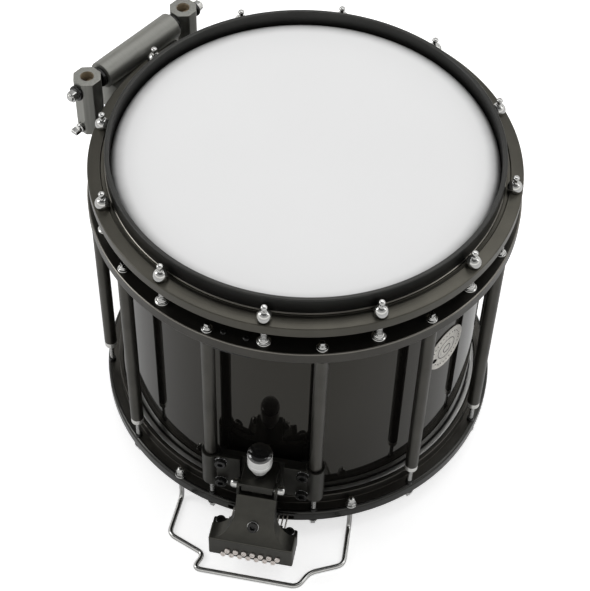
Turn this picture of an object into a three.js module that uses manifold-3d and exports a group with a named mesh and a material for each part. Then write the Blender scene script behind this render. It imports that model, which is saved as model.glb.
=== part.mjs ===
// Marching snare drum with a free-floating shell: batter hoop, middle ring, tubes and snare-side hoop.
// Millimetres, +Z up. The origin is the centre of the batter head's playing face. The strainer faces -Y.
import * as THREE from "three";
import { mergeVertices } from "three/addons/utils/BufferGeometryUtils.js";
import Module from "manifold-3d";

const wasm = await Module();
wasm.setup();

// General values
const gap = 0.3;
const overrun = 3;
const lugCount = 12;
const ringFacets = 48;
const rodFacets = 8;
const knobFacets = 16;
const boreFacets = 12;
const hexFacets = 6;
const pinFacets = 4;
const postSides = 8;
const lugStep = (2 * Math.PI) / lugCount;

// Shell and heads
const shellRadius = 177.8;
const shellWall = 7;
const headSpan = 305;
const bearingChamfer = 3;
const ventRadius = 2.5;
const film = { thickness: 0.4, skirt: 16.5 };
const fleshHoop = { wall: 4.4, height: 10, drop: 8 };

// Batter hoop, measured from the playing face
const hoop = {
  collarHeight: 12.7,
  collarWall: 4.2,
  flangeWidth: 16.5,
  flangeDrop: 5,
  flangeHeight: 12,
  edge: 1.2,
  lip: 1,
  ledge: 1.4,
  grooveWidth: 4,
  grooveDepth: 1.6,
};

// Middle ring, hung below the batter hoop
const ring = { clearance: 3, overhang: 2.3, drop: 20.5, height: 13, edge: 1.3 };

// Snare-side hoop, measured from the snare-side head
const snareHoop = {
  skirtRise: 18.5,
  skirtWall: 4.5,
  flangeRise: 7,
  flangeHeight: 14,
  edge: 1.2,
  lipHeight: 4,
};
const snareGate = { width: 66, depth: 8.6 };

// Tension rods, with the dome that bears on the hoop and the flanged insert in the ring
const rod = {
  inset: 8,
  radius: 3,
  keyRise: 18,
  keySide: 5.6,
  keyHeight: 6.5,
  neckRadius: 2.6,
  domeRise: 8.4,
  domeRadius: 6.15,
  shoulderRadius: 4.4,
  rimHeight: 2.4,
};
const insert = { flangeRadius: 6.25, flangeHeight: 2, domeHeight: 1.8, bodyRadius: 4.8 };

// Tubes, with their key screw above the ring and the rod that pulls the snare-side hoop
const tube = {
  inset: 6.8,
  radius: 6.35,
  footRise: 26,
  washerRadius: 5,
  washerHeight: 1.4,
  bossRadius: 3.4,
  bossHeight: 1.8,
  keySide: 4.6,
  keyHeight: 5.2,
  screwRadius: 2.5,
  collarRadius: 5.3,
  collarHeight: 9,
  collarTaper: 1.6,
  studRadius: 2.4,
  headRadius: 5,
  headHeight: 5,
};

// Stay under the ring
const stay = { angle: -7.7, spread: 6.2, span: 10, thickness: 1.8, inset: 0.8, depth: 17 };
const stayScrew = { inset: 9.8, radius: 2, headRadius: 3.2, headHeight: 1.8 };

// Badge with its vent
const badge = { angle: 59.5, drop: 135, radius: 25, thickness: 1.1, ventSide: 16, ventDrop: 6 };

// Strainer on the two front tubes, measured up from the hoop's flange and out from the tubes
const clamp = { rise: 75, height: 48, wall: 2.4, wingGap: 4.6, wingThickness: 5.7, wingInset: 1 };
const clampBolt = {
  inset: 11,
  spacing: 32,
  headRadius: 5,
  headHeight: 5,
  shankRadius: 2.5,
  socketRadius: 2.6,
  socketDepth: 3,
  stripThickness: 3,
  stripWidth: 6,
  stripInset: 4,
};
const bridge = { thickness: 5, inset: 2 };
const frame = {
  halfWidth: 16.4,
  drop: 4,
  roofThickness: 4.5,
  roofDepth: 30.2,
  webThickness: 7.5,
  webHeight: 41,
  lugInset: 1.4,
  lugWidth: 6,
  lugHeight: 11.5,
  lugDepth: 10.5,
};
const pivot = { offset: 25.2, drop: 7.5, radius: 2.5, headRadius: 3.6, headLength: 3.5 };
const knob = {
  offset: 16.2,
  radius: 12,
  rise: 38,
  domeHeight: 1.6,
  rimHeight: 2.2,
  rimInset: 1.2,
  cylinderHeight: 19,
  coneHeight: 12,
  neckRadius: 5,
  seatGap: 1.2,
  spindleRadius: 3,
};
const pad = { radius: 4.2, height: 7.4, cupDepth: 4.2, stroke: 0.9, tipRadius: 1.8, tipHeight: 1.6 };

// Gate: T-arm hung on the pivot and measured from it, with the strand block under it
const arm = {
  earThickness: 2.5,
  earRadius: 6,
  topDrop: 9.5,
  topOffset: 6,
  footDrop: 49.5,
  footOffset: 34,
  footDepth: 17,
  thickness: 8,
  gussetWidth: 12,
  gussetHeight: 17,
  gussetDepth: 24,
  fingerHalfWidth: 5,
  fingerThickness: 5,
  fingerDrop: 3.5,
};
const block = {
  halfWidth: 41.3,
  backOffset: 7,
  frontOffset: 34.8,
  height: 28,
  edge: 2,
  pocketWidth: 15,
  pocketDepth: 10,
  pocketHeight: 5,
};
const heightScrew = { radius: 4.6, height: 3.5, inset: 7.5 };
const lockScrew = { drop: 31.5, headRadius: 5, headHeight: 3.5, shankRadius: 2.4, shankLength: 9 };
const strand = { count: 14, pitch: 4.1, radius: 0.8, drop: 1.1 };
const strandScrew = {
  headRadius: 2.5,
  headLength: 1.6,
  shankRadius: 1.6,
  shankLength: 8,
  rise: 1.2,
  rowGap: 4.9,
  barDepth: 3,
};

// Butt side: fixed bracket on the two rear tubes, with the clamp bar that ends the strands
const butt = {
  armHalfWidth: 18,
  armThickness: 6,
  footHalfWidth: 33,
  footGap: 6,
  footThickness: 10,
  footRise: 9,
  kneeRise: 25,
  barThickness: 3,
  barHalfWidth: 30,
  barHeight: 8,
};

// Guards of bent rod, bolted through the snare-side hoop
const guard = {
  radius: 2.5,
  angle: 26,
  drop: 25,
  shoulderSpread: 2.3,
  shoulderDepth: 22,
  notchHalfWidth: 53,
  notchDepth: 37.5,
  noseHalfWidth: 52,
  noseDepth: 55,
  skew: 3.7,
  bend: 7,
  bendSteps: 3,
  nutRadius: 5.8,
  nutHeight: 6,
  nutFlange: 1.4,
  domeRadius: 4.2,
  domeHeight: 5,
};

// Receivers for the player's carrier, at the back left
const receiver = {
  angle: -120,
  clearance: 14.2,
  drop: 6,
  postFlats: 26,
  postRise: 11.5,
  postHeight: 65,
  bore: 6.6,
  tubeRadius: 13.5,
  tubeHalfLength: 48,
  tubeBoreDepth: 26,
  boltRadius: 4,
  bushRadius: 10,
  bushLength: 4.4,
  washerRadius: 7.8,
  washerThickness: 3.6,
  nutRadius: 6,
  nutThickness: 6,
  capRadius: 4,
  capThickness: 3,
};
const clampScrew = { drop: 46, radius: 3, collarRadius: 5, collarLength: 5, headSide: 8, headLength: 6 };
const bracket = { halfLength: 44, bite: 12.3, cover: 6.5, topDrop: 9, bottomDrop: 0.5 };

// Shell, heads and hoops: derived radii and heights
const filmRadius = shellRadius + gap + film.thickness;
const fleshInner = filmRadius + gap;
const fleshOuter = fleshInner + fleshHoop.wall;
const fleshTop = -fleshHoop.drop;
const fleshBottom = fleshTop - fleshHoop.height;
const collarInner = fleshInner + gap;
const collarOuter = collarInner + hoop.collarWall;
const skirtInner = fleshOuter + gap;
const hoopOuter = skirtInner + hoop.flangeWidth;
const flangeTop = -hoop.flangeDrop;
const flangeBottom = flangeTop - hoop.flangeHeight;
const ringInner = shellRadius + ring.clearance;
const ringOuter = hoopOuter + ring.overhang;
const ringTop = flangeBottom - ring.drop;
const ringBottom = ringTop - ring.height;
const snareFlangeTop = -headSpan + snareHoop.flangeRise;
const snareFlangeBottom = snareFlangeTop - snareHoop.flangeHeight;
const rodCircle = hoopOuter - rod.inset;
const tubeCircle = ringOuter - tube.inset;
const stayCircle = ringOuter - stayScrew.inset;
const badgeHeight = -badge.drop;

// Strainer: derived places
const tubeTurn = lugStep / 2;
const frontTubeX = tubeCircle * Math.sin(tubeTurn);
const frontTubeY = -tubeCircle * Math.cos(tubeTurn);
const bridgeFront = frontTubeY - gap;
const bridgeBack = bridgeFront + bridge.thickness;
const wingFront = bridgeFront - gap - clamp.wingThickness;
const clampTop = snareFlangeTop + clamp.rise;
const clampBottom = clampTop - clamp.height;
const clampMiddle = clampTop - clamp.height / 2;
const sleeveRadius = tube.radius + gap + clamp.wall;
const boltX = frontTubeX - clampBolt.inset;
const frameTop = clampTop - frame.drop;
const frameFront = frontTubeY - frame.roofDepth;
const pivotY = frontTubeY - pivot.offset;
const pivotZ = frameTop - pivot.drop;
const knobY = frontTubeY - knob.offset;
const knobTop = frameTop + knob.rise;
const earInner = frame.halfWidth + gap;
const earOuter = earInner + arm.earThickness;
const armTop = pivotZ - arm.topDrop;
const armTopFront = pivotY - arm.topOffset;
const armFoot = pivotZ - arm.footDrop;
const armFootFront = pivotY - arm.footOffset;
const fingerTop = pivotZ - pivot.radius - gap - arm.fingerDrop;
const padTop = fingerTop + gap + pad.height;
const blockBack = pivotY - block.backOffset;
const blockFront = pivotY - block.frontOffset;
const blockTop = armFoot - gap;
const blockBottom = blockTop - block.height;
const strandZ = -headSpan - strand.drop;
const screwRows = [strandZ + strandScrew.rise, strandZ + strandScrew.rise - strandScrew.rowGap];
const screwsPerRow = strand.count / 2;
const screwPitch = 2 * strand.pitch;
const buttInner = hoopOuter + butt.footGap;

// Receivers: derived places, in the group's own frame
const receiverY = -ringOuter - receiver.clearance;
const receiverZ = -receiver.drop;
const postTop = receiverZ + receiver.postRise;
const postInner = receiver.tubeHalfLength + receiver.bushLength + 2 * gap;
const postX = postInner + receiver.postFlats / 2;
const clampScrewZ = receiverZ - clampScrew.drop;

// Materials
function finish(color, roughness, metalness) {
  return new THREE.MeshStandardMaterial({ color, roughness, metalness });
}
const materials = {
  lacquer: finish(0x0b0b0c, 0.08, 0),
  film: finish(0xe9e9ea, 0.45, 0),
  anodised: finish(0x3f3f3a, 0.42, 0.8),
  chrome: finish(0xd6d7d8, 0.12, 1),
  blackMetal: finish(0x1b1b1b, 0.4, 0.6),
  brushed: finish(0x8f9190, 0.35, 1),
  badge: finish(0xc9c8c0, 0.3, 0.9),
  cord: finish(0xd8d6cf, 0.5, 0.3),
};

// Solids from three.js shapes
function radians(degrees) {
  return (degrees * Math.PI) / 180;
}

function signedVolume(positions, triangles) {
  let sum = 0;
  const a = new THREE.Vector3();
  const b = new THREE.Vector3();
  const c = new THREE.Vector3();
  for (let i = 0; i < triangles.length; i += 3) {
    a.fromArray(positions, 3 * triangles[i]);
    b.fromArray(positions, 3 * triangles[i + 1]);
    c.fromArray(positions, 3 * triangles[i + 2]);
    sum += a.dot(b.cross(c));
  }
  return sum;
}

function solidOf(geometry) {
  geometry.deleteAttribute("normal");
  geometry.deleteAttribute("uv");
  const merged = mergeVertices(geometry);
  const index = merged.index.array;
  const triangles = [];
  for (let i = 0; i < index.length; i += 3) {
    const [a, b, c] = [index[i], index[i + 1], index[i + 2]];
    if (a !== b && b !== c && c !== a) {
      triangles.push(a, b, c);
    }
  }
  const positions = merged.attributes.position.array;
  if (signedVolume(positions, triangles) < 0) {
    triangles.reverse();
  }
  const vertProperties = new Float32Array(positions);
  const triVerts = new Uint32Array(triangles);
  return new wasm.Manifold(new wasm.Mesh({ numProp: 3, vertProperties, triVerts }));
}

function geometryOf(solid) {
  const mesh = solid.getMesh();
  const geometry = new THREE.BufferGeometry();
  geometry.setAttribute("position", new THREE.BufferAttribute(mesh.vertProperties, 3));
  geometry.setIndex(new THREE.BufferAttribute(mesh.triVerts, 1));
  geometry.computeVertexNormals();
  return geometry;
}

// A solid of revolution about Z, from [radius, height] points. A closed profile makes a ring.
function turned(profile, facets) {
  const points = profile.map(([radius, height]) => new THREE.Vector2(radius, height));
  if (profile[0][0] > 0) {
    points.push(points[0].clone());
  }
  const geometry = new THREE.LatheGeometry(points, facets);
  geometry.rotateX(Math.PI / 2);
  return solidOf(geometry);
}

function box(xs, ys, zs) {
  const geometry = new THREE.BoxGeometry(xs[1] - xs[0], ys[1] - ys[0], zs[1] - zs[0]);
  geometry.translate((xs[0] + xs[1]) / 2, (ys[0] + ys[1]) / 2, (zs[0] + zs[1]) / 2);
  return solidOf(geometry);
}

function cylinder(radius, start, end, facets) {
  const from = new THREE.Vector3(...start);
  const way = new THREE.Vector3(...end).sub(from);
  const geometry = new THREE.CylinderGeometry(radius, radius, way.length(), facets);
  geometry.rotateY(Math.PI / facets);
  geometry.translate(0, way.length() / 2, 0);
  const up = new THREE.Vector3(0, 1, 0);
  const turn = new THREE.Quaternion().setFromUnitVectors(up, way.clone().normalize());
  geometry.applyQuaternion(turn);
  geometry.translate(from.x, from.y, from.z);
  return solidOf(geometry);
}

// The tool that cuts a clear hole for a rod of this radius
function hole(radius, start, end, facets) {
  return cylinder((radius + gap) / Math.cos(Math.PI / facets), start, end, facets);
}

// A prism along X from an outline of [y, z] points
function prismX(outline, x0, x1) {
  const shape = new THREE.Shape(outline.map(([y, z]) => new THREE.Vector2(y, z)));
  const geometry = new THREE.ExtrudeGeometry(shape, { depth: x1 - x0, bevelEnabled: false });
  const along = new THREE.Matrix4();
  along.makeBasis(new THREE.Vector3(0, 1, 0), new THREE.Vector3(0, 0, 1), new THREE.Vector3(1, 0, 0));
  geometry.applyMatrix4(along);
  geometry.translate(x0, 0, 0);
  return solidOf(geometry);
}

// A prism along Z from an outline of [x, y] points
function prismZ(outline, z0, z1) {
  const shape = new THREE.Shape(outline.map(([x, y]) => new THREE.Vector2(x, y)));
  const geometry = new THREE.ExtrudeGeometry(shape, { depth: z1 - z0, bevelEnabled: false });
  geometry.translate(0, 0, z0);
  return solidOf(geometry);
}

function polar(radius, angle) {
  return [radius * Math.sin(angle), -radius * Math.cos(angle)];
}

// Holes for upright rods round a circle
function drilled(solid, circle, radius, zs, angles) {
  let result = solid;
  for (const angle of angles) {
    const [x, y] = polar(circle, angle);
    result = result.subtract(hole(radius, [x, y, zs[0] - overrun], [x, y, zs[1] + overrun], rodFacets));
  }
  return result;
}

const lugAngles = Array.from({ length: lugCount }, (_, i) => i * lugStep);
const tubeAngles = lugAngles.map((angle) => angle + tubeTurn);
const stayAngles = [-1, 1].map((side) => radians(stay.angle + (side * stay.spread) / 2));
const frontGuardAngles = [-1, 1].map((side) => side * radians(guard.angle));
const guardAngles = [...frontGuardAngles, ...frontGuardAngles.map((angle) => angle + Math.PI)];

const drum = new THREE.Group();

function add(name, solid, material, parent = drum) {
  const mesh = new THREE.Mesh(geometryOf(solid), material);
  mesh.name = name;
  parent.add(mesh);
  return mesh;
}

// Shell, heads and flesh hoops
function badgeBar(radius, turn, drop) {
  const angle = radians(badge.angle) + turn;
  const [x0, y0] = polar(shellRadius - shellWall - overrun, angle);
  const [x1, y1] = polar(shellRadius + shellWall, angle);
  const z = badgeHeight - drop;
  return cylinder(radius, [x0, y0, z], [x1, y1, z], 2 * boreFacets);
}

function ventBar() {
  return badgeBar(ventRadius, -badge.ventSide / shellRadius, badge.ventDrop);
}

function makeShell() {
  const top = -film.thickness - gap;
  const bottom = -headSpan - top;
  const inner = shellRadius - shellWall;
  const crest = shellRadius - bearingChamfer;
  const tube = turned(
    [
      [inner, top - bearingChamfer],
      [crest, top],
      [shellRadius, top - bearingChamfer],
      [shellRadius, bottom + bearingChamfer],
      [crest, bottom],
      [inner, bottom + bearingChamfer],
    ],
    ringFacets,
  );
  return tube.subtract(ventBar());
}

function makeHead() {
  const crest = shellRadius - bearingChamfer + gap;
  const drop = filmRadius - crest;
  const miter = film.thickness * (Math.SQRT2 - 1);
  return turned(
    [
      [0, 0],
      [crest, 0],
      [filmRadius, -drop],
      [filmRadius, -film.skirt],
      [filmRadius - film.thickness, -film.skirt],
      [filmRadius - film.thickness, -drop - miter],
      [crest - miter, -film.thickness],
      [0, -film.thickness],
    ],
    ringFacets,
  );
}

function makeFleshHoop() {
  return turned(
    [
      [fleshInner, fleshBottom],
      [fleshOuter, fleshBottom],
      [fleshOuter, fleshTop],
      [fleshInner, fleshTop],
    ],
    ringFacets,
  );
}

// The snare side is the batter side turned over
function turnedOver(solid) {
  return solid.rotate([180, 0, 0]).translate([0, 0, -headSpan]);
}

// Hoops and ring
function makeTopHoop() {
  const { collarHeight, edge, lip, ledge, grooveWidth, grooveDepth } = hoop;
  const groove = collarOuter + ledge;
  const profile = [
    [collarInner, fleshTop + gap],
    [skirtInner, fleshTop + gap],
    [skirtInner, flangeBottom],
    [hoopOuter - edge, flangeBottom],
    [hoopOuter, flangeBottom + edge],
    [hoopOuter, flangeTop - edge],
    [hoopOuter - edge, flangeTop],
    [groove + grooveWidth, flangeTop],
    [groove + grooveWidth, flangeTop - grooveDepth],
    [groove, flangeTop - grooveDepth],
    [groove, flangeTop + edge],
    [collarOuter, flangeTop + edge + ledge],
    [collarOuter, collarHeight - lip],
    [collarOuter - lip, collarHeight],
    [collarInner + lip, collarHeight],
    [collarInner, collarHeight - lip],
  ];
  const blank = turned(profile, ringFacets);
  return drilled(blank, rodCircle, rod.radius, [flangeBottom, flangeTop], lugAngles);
}

function makeTensionRing() {
  const { edge } = ring;
  const blank = turned(
    [
      [ringInner, ringBottom],
      [ringOuter - edge, ringBottom],
      [ringOuter, ringBottom + edge],
      [ringOuter, ringTop - edge],
      [ringOuter - edge, ringTop],
      [ringInner, ringTop],
    ],
    ringFacets,
  );
  const zs = [ringBottom, ringTop];
  const forInserts = drilled(blank, rodCircle, insert.bodyRadius, zs, lugAngles);
  const forTubes = drilled(forInserts, tubeCircle, tube.screwRadius, zs, tubeAngles);
  return drilled(forTubes, stayCircle, stayScrew.radius, zs, stayAngles);
}

function makeSnareHoop() {
  const { skirtRise, skirtWall, edge, lipHeight } = snareHoop;
  const skirtTop = -headSpan + skirtRise;
  const seat = -headSpan - fleshTop - gap;
  const bottom = snareFlangeBottom;
  const inner = collarInner;
  const blank = turned(
    [
      [inner, bottom - lipHeight + edge],
      [inner + edge, bottom - lipHeight],
      [skirtInner, bottom - lipHeight],
      [skirtInner + skirtWall, bottom],
      [hoopOuter - edge, bottom],
      [hoopOuter, bottom + edge],
      [hoopOuter, snareFlangeTop - edge],
      [hoopOuter - edge, snareFlangeTop],
      [skirtInner + skirtWall, snareFlangeTop],
      [skirtInner + skirtWall, skirtTop - edge],
      [skirtInner + skirtWall - edge, skirtTop],
      [skirtInner, skirtTop],
      [skirtInner, seat],
      [inner, seat],
    ],
    ringFacets,
  );
  const zs = [bottom, snareFlangeTop];
  const forTubes = drilled(blank, tubeCircle, tube.studRadius, zs, tubeAngles);
  const forGuards = drilled(forTubes, tubeCircle, guard.radius, zs, guardAngles);
  const notchTop = bottom + snareGate.depth;
  const half = snareGate.width / 2;
  const reach = hoopOuter + overrun;
  const notch = box([-half, half], [-reach, reach], [bottom - lipHeight - overrun, notchTop]);
  return forGuards.subtract(notch);
}

// One tension rod on its own axis, with its dome on the hoop and its insert in the ring
function makeTensionRod() {
  const seat = flangeTop + gap;
  const keyTop = flangeTop + rod.keyRise;
  const neckBottom = keyTop - rod.keyHeight;
  const domeTop = flangeTop + rod.domeRise;
  const insertSeat = ringTop + gap;
  const insertTop = insertSeat + insert.flangeHeight;
  const spindle = turned(
    [
      [0, neckBottom],
      [rod.neckRadius, neckBottom],
      [rod.neckRadius, domeTop],
      [rod.shoulderRadius, domeTop - rod.rimHeight],
      [rod.domeRadius, seat + rod.rimHeight],
      [rod.domeRadius, seat],
      [rod.radius, seat],
      [rod.radius, insertTop + insert.domeHeight],
      [insert.bodyRadius, insertTop + insert.domeHeight],
      [insert.flangeRadius, insertTop],
      [insert.flangeRadius, insertSeat],
      [insert.bodyRadius, insertSeat],
      [insert.bodyRadius, ringBottom],
      [0, ringBottom],
    ],
    rodFacets,
  );
  const half = rod.keySide / 2;
  const key = box([-half, half], [-half, half], [neckBottom - rod.neckRadius, keyTop]);
  return spindle.add(key);
}

// One tube on its own axis, with the key screw that holds it to the ring and its lower rod
function makeTube() {
  const seat = ringTop + gap;
  const tubeBottom = snareFlangeTop + tube.footRise;
  const washerTop = seat + tube.washerHeight;
  const bossTop = washerTop + tube.bossHeight;
  const collarBottom = tubeBottom - tube.collarHeight;
  const headTop = snareFlangeBottom - gap;
  const post = turned(
    [
      [0, bossTop],
      [tube.bossRadius, bossTop],
      [tube.bossRadius, washerTop],
      [tube.washerRadius, washerTop],
      [tube.washerRadius, seat],
      [tube.screwRadius, seat],
      [tube.screwRadius, ringBottom - gap],
      [tube.radius, ringBottom - gap],
      [tube.radius, tubeBottom],
      [tube.collarRadius, tubeBottom],
      [tube.collarRadius - tube.collarTaper, collarBottom],
      [tube.studRadius, collarBottom],
      [tube.studRadius, headTop],
      [tube.headRadius, headTop],
      [tube.headRadius - tube.collarTaper, headTop - tube.headHeight],
      [0, headTop - tube.headHeight],
    ],
    rodFacets,
  );
  const half = tube.keySide / 2;
  const topKey = box([-half, half], [-half, half], [washerTop, bossTop + tube.keyHeight]);
  const low = headTop - tube.headHeight;
  const lowKey = box([-half, half], [-half, half], [low - tube.keyHeight, headTop - tube.washerHeight]);
  return post.add(topKey).add(lowKey);
}

function addRound(prefix, solid, material, circle, angles) {
  const geometry = geometryOf(solid);
  angles.forEach((angle, i) => {
    const mesh = new THREE.Mesh(geometry, material);
    const [x, y] = polar(circle, angle);
    mesh.name = `${prefix}_${String(i + 1).padStart(2, "0")}`;
    mesh.position.set(x, y, 0);
    mesh.rotation.z = angle;
    drum.add(mesh);
  });
}

function makeStay() {
  const seat = ringTop + gap;
  const plateTop = ringBottom - gap;
  const plateBottom = plateTop - stay.thickness;
  const half = radians(stay.span) / 2;
  const middle = radians(stay.angle);
  const edgeShares = [-1, -0.5, 0, 0.5, 1];
  const outer = edgeShares.map((share) => polar(ringOuter - stay.inset, middle + share * half));
  const inner = edgeShares.map((share) => polar(ringOuter - stay.inset - stay.depth, middle - share * half));
  let solid = prismZ([...outer, ...inner], plateBottom, plateTop);
  for (const angle of stayAngles) {
    const [x, y] = polar(stayCircle, angle);
    const overlap = stay.thickness / 2;
    const [from, to] = [plateTop - overlap, seat + overlap];
    solid = solid.add(cylinder(stayScrew.radius, [x, y, from], [x, y, to], rodFacets));
    const top = seat + stayScrew.headHeight;
    solid = solid.add(cylinder(stayScrew.headRadius, [x, y, seat], [x, y, top], rodFacets));
  }
  return solid;
}

function makeBadge() {
  const inner = shellRadius + gap;
  const outer = inner + badge.thickness;
  const low = badgeHeight - badge.radius - overrun;
  const high = badgeHeight + badge.radius + overrun;
  const band = turned(
    [
      [inner, low],
      [outer, low],
      [outer, high],
      [inner, high],
    ],
    ringFacets,
  );
  return band.intersect(badgeBar(badge.radius, 0, 0)).subtract(ventBar());
}

// Strainer parts. Each clamp is made for the +X tube and mirrored by its side.
function makeClamp(side) {
  const x = side * frontTubeX;
  const zs = [clampBottom, clampTop];
  const sleeve = cylinder(sleeveRadius, [x, frontTubeY, zs[0]], [x, frontTubeY, zs[1]], knobFacets);
  const low = [x, frontTubeY, zs[0] - overrun];
  const bore = hole(tube.radius, low, [x, frontTubeY, zs[1] + overrun], knobFacets);
  const xs = [side * (frame.halfWidth + clamp.wingGap), x].sort((a, b) => a - b);
  const wingBack = bridgeFront - gap;
  const wing = box(xs, [wingFront, wingBack], [zs[0] + clamp.wingInset, zs[1] - clamp.wingInset]);
  let solid = sleeve.add(wing).subtract(bore);
  for (const z of boltHeights()) {
    const from = [side * boltX, wingFront - overrun, z];
    const to = [side * boltX, wingBack + overrun, z];
    solid = solid.subtract(hole(clampBolt.shankRadius, from, to, rodFacets));
  }
  return solid;
}

function boltHeights() {
  return [-1, 1].map((side) => clampMiddle + (side * clampBolt.spacing) / 2);
}

function makeClampBolts(side) {
  const x = side * boltX;
  const stripFront = bridgeBack + gap;
  const stripBack = stripFront + clampBolt.stripThickness;
  const half = clampBolt.stripWidth / 2;
  const zs = [clampBottom + clampBolt.stripInset, clampTop - clampBolt.stripInset];
  let solid = box([x - half, x + half], [stripFront, stripBack], zs);
  const headBack = wingFront - gap;
  for (const z of boltHeights()) {
    const front = headBack - clampBolt.headHeight;
    const shankEnd = (stripFront + stripBack) / 2;
    const shankStart = headBack - clampBolt.headHeight / 4;
    solid = solid.add(cylinder(clampBolt.shankRadius, [x, shankStart, z], [x, shankEnd, z], rodFacets));
    solid = solid.add(cylinder(clampBolt.headRadius, [x, front, z], [x, headBack, z], boreFacets));
    const from = [x, front - overrun, z];
    const to = [x, front + clampBolt.socketDepth, z];
    solid = solid.subtract(cylinder(clampBolt.socketRadius, from, to, hexFacets));
  }
  return solid;
}

function makeBridge() {
  const half = frontTubeX - sleeveRadius - gap;
  const zs = [clampBottom + bridge.inset, clampTop - bridge.inset];
  let solid = box([-half, half], [bridgeFront, bridgeBack], zs);
  for (const side of [-1, 1]) {
    for (const z of boltHeights()) {
      const x = side * boltX;
      const from = [x, bridgeFront - overrun, z];
      const to = [x, bridgeBack + overrun, z];
      solid = solid.subtract(hole(clampBolt.shankRadius, from, to, rodFacets));
    }
  }
  return solid;
}

function makeFrame() {
  const half = frame.halfWidth;
  const back = bridgeFront - gap;
  const roofBottom = frameTop - frame.roofThickness;
  const roof = box([-half, half], [frameFront, back], [roofBottom, frameTop]);
  const web = box([-half, half], [back - frame.webThickness, back], [frameTop - frame.webHeight, frameTop]);
  let solid = roof.add(web);
  for (const side of [-1, 1]) {
    const outer = half - frame.lugInset;
    const xs = [side * (outer - frame.lugWidth), side * outer].sort((a, b) => a - b);
    const ys = [frameFront, frameFront + frame.lugDepth];
    solid = solid.add(box(xs, ys, [frameTop - frame.lugHeight, frameTop]));
  }
  const end = half + overrun;
  solid = solid.subtract(hole(pivot.radius, [-end, pivotY, pivotZ], [end, pivotY, pivotZ], rodFacets));
  const from = [0, knobY, roofBottom - overrun];
  return solid.subtract(hole(knob.spindleRadius, from, [0, knobY, frameTop + overrun], knobFacets));
}

function makePin() {
  const end = earOuter + gap;
  const head = end + pivot.headLength;
  const [y, z] = [pivotY, pivotZ];
  const bar = cylinder(pivot.radius, [-end - gap, y, z], [end + gap, y, z], rodFacets);
  const left = cylinder(pivot.headRadius, [-head, y, z], [-end, y, z], boreFacets);
  const right = cylinder(pivot.headRadius, [end, y, z], [head, y, z], boreFacets);
  return bar.add(left).add(right);
}

function makeKnob() {
  const cylinderTop = knobTop - knob.domeHeight - knob.rimHeight;
  const cylinderBottom = cylinderTop - knob.cylinderHeight;
  const coneBottom = cylinderBottom - knob.coneHeight;
  const seat = frameTop + knob.seatGap;
  const spindleEnd = padTop - pad.cupDepth + pad.stroke + gap;
  const solid = turned(
    [
      [0, knobTop],
      [knob.radius / 2, knobTop - knob.domeHeight / 4],
      [knob.radius - knob.rimInset, knobTop - knob.domeHeight],
      [knob.radius, cylinderTop],
      [knob.radius, cylinderBottom],
      [knob.neckRadius, coneBottom],
      [knob.neckRadius, seat],
      [knob.spindleRadius, seat],
      [knob.spindleRadius, spindleEnd],
      [0, spindleEnd],
    ],
    knobFacets,
  );
  return solid.translate([0, knobY, 0]);
}

function makePad() {
  const bottom = fingerTop + gap;
  const bore = knob.spindleRadius + gap;
  const solid = turned(
    [
      [0, bottom],
      [pad.tipRadius, bottom],
      [pad.radius, bottom + pad.tipHeight],
      [pad.radius, padTop],
      [bore, padTop],
      [bore, padTop - pad.cupDepth],
      [0, padTop - pad.cupDepth],
    ],
    boreFacets,
  );
  return solid.translate([0, knobY, 0]);
}

// Gate parts
function armNormal() {
  const run = armTopFront - armFootFront;
  const fall = armTop - armFoot;
  return new THREE.Vector2(run, fall).normalize();
}

function makeArm() {
  const { footDepth, thickness } = arm;
  const way = armNormal();
  const kneeY = armTopFront + thickness * way.y;
  const kneeZ = armTop - thickness * way.x - thickness;
  const outline = [
    [armTopFront, armTop],
    [armFootFront, armFoot],
    [armFootFront + footDepth, armFoot],
    [kneeY, kneeZ],
    [kneeY, armTop],
  ];
  let solid = prismX(outline, -earOuter, earOuter);
  const earTop = pivotZ + arm.earRadius;
  const earFront = pivotY - arm.earRadius;
  const earBack = pivotY + arm.earRadius;
  const chamfer = arm.earRadius / 2;
  const ear = [
    [earFront + chamfer, earTop],
    [earFront, earTop - chamfer],
    [armTopFront, armTop],
    [kneeY, kneeZ],
    [earBack, pivotZ - arm.earRadius],
    [earBack, earTop - chamfer],
    [earBack - chamfer, earTop],
  ];
  for (const side of [-1, 1]) {
    const xs = [side * earInner, side * earOuter].sort((a, b) => a - b);
    solid = solid.add(prismX(ear, xs[0], xs[1]));
    solid = solid.add(gusset(side));
  }
  solid = solid.add(finger());
  const end = earOuter + overrun;
  solid = solid.subtract(hole(pivot.radius, [-end, pivotY, pivotZ], [end, pivotY, pivotZ], rodFacets));
  return solid.subtract(lockHole());
}

function gusset(side) {
  const { gussetHeight, gussetDepth, gussetWidth } = arm;
  const way = armNormal();
  const highFront = armFootFront + (gussetHeight * way.x) / way.y;
  const inner = earOuter - arm.earThickness;
  const outer = earOuter + gussetWidth;
  const points = [
    [inner, armFootFront, armFoot],
    [outer, armFootFront, armFoot],
    [outer, armFootFront + gussetDepth / 2, armFoot],
    [inner, armFootFront + gussetDepth, armFoot],
    [inner, highFront, armFoot + gussetHeight],
  ];
  const faces = [0, 1, 4, 1, 2, 4, 2, 3, 4, 3, 0, 4, 0, 3, 1, 1, 3, 2];
  const geometry = new THREE.BufferGeometry();
  const flat = points.flatMap(([x, y, z]) => [side * x, y, z]);
  geometry.setAttribute("position", new THREE.Float32BufferAttribute(flat, 3));
  geometry.setIndex(faces);
  return solidOf(geometry);
}

function finger() {
  const half = arm.fingerHalfWidth;
  const front = armTopFront + arm.thickness / 2;
  return box([-half, half], [front, knobY + pad.radius], [fingerTop - arm.fingerThickness, fingerTop]);
}

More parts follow.
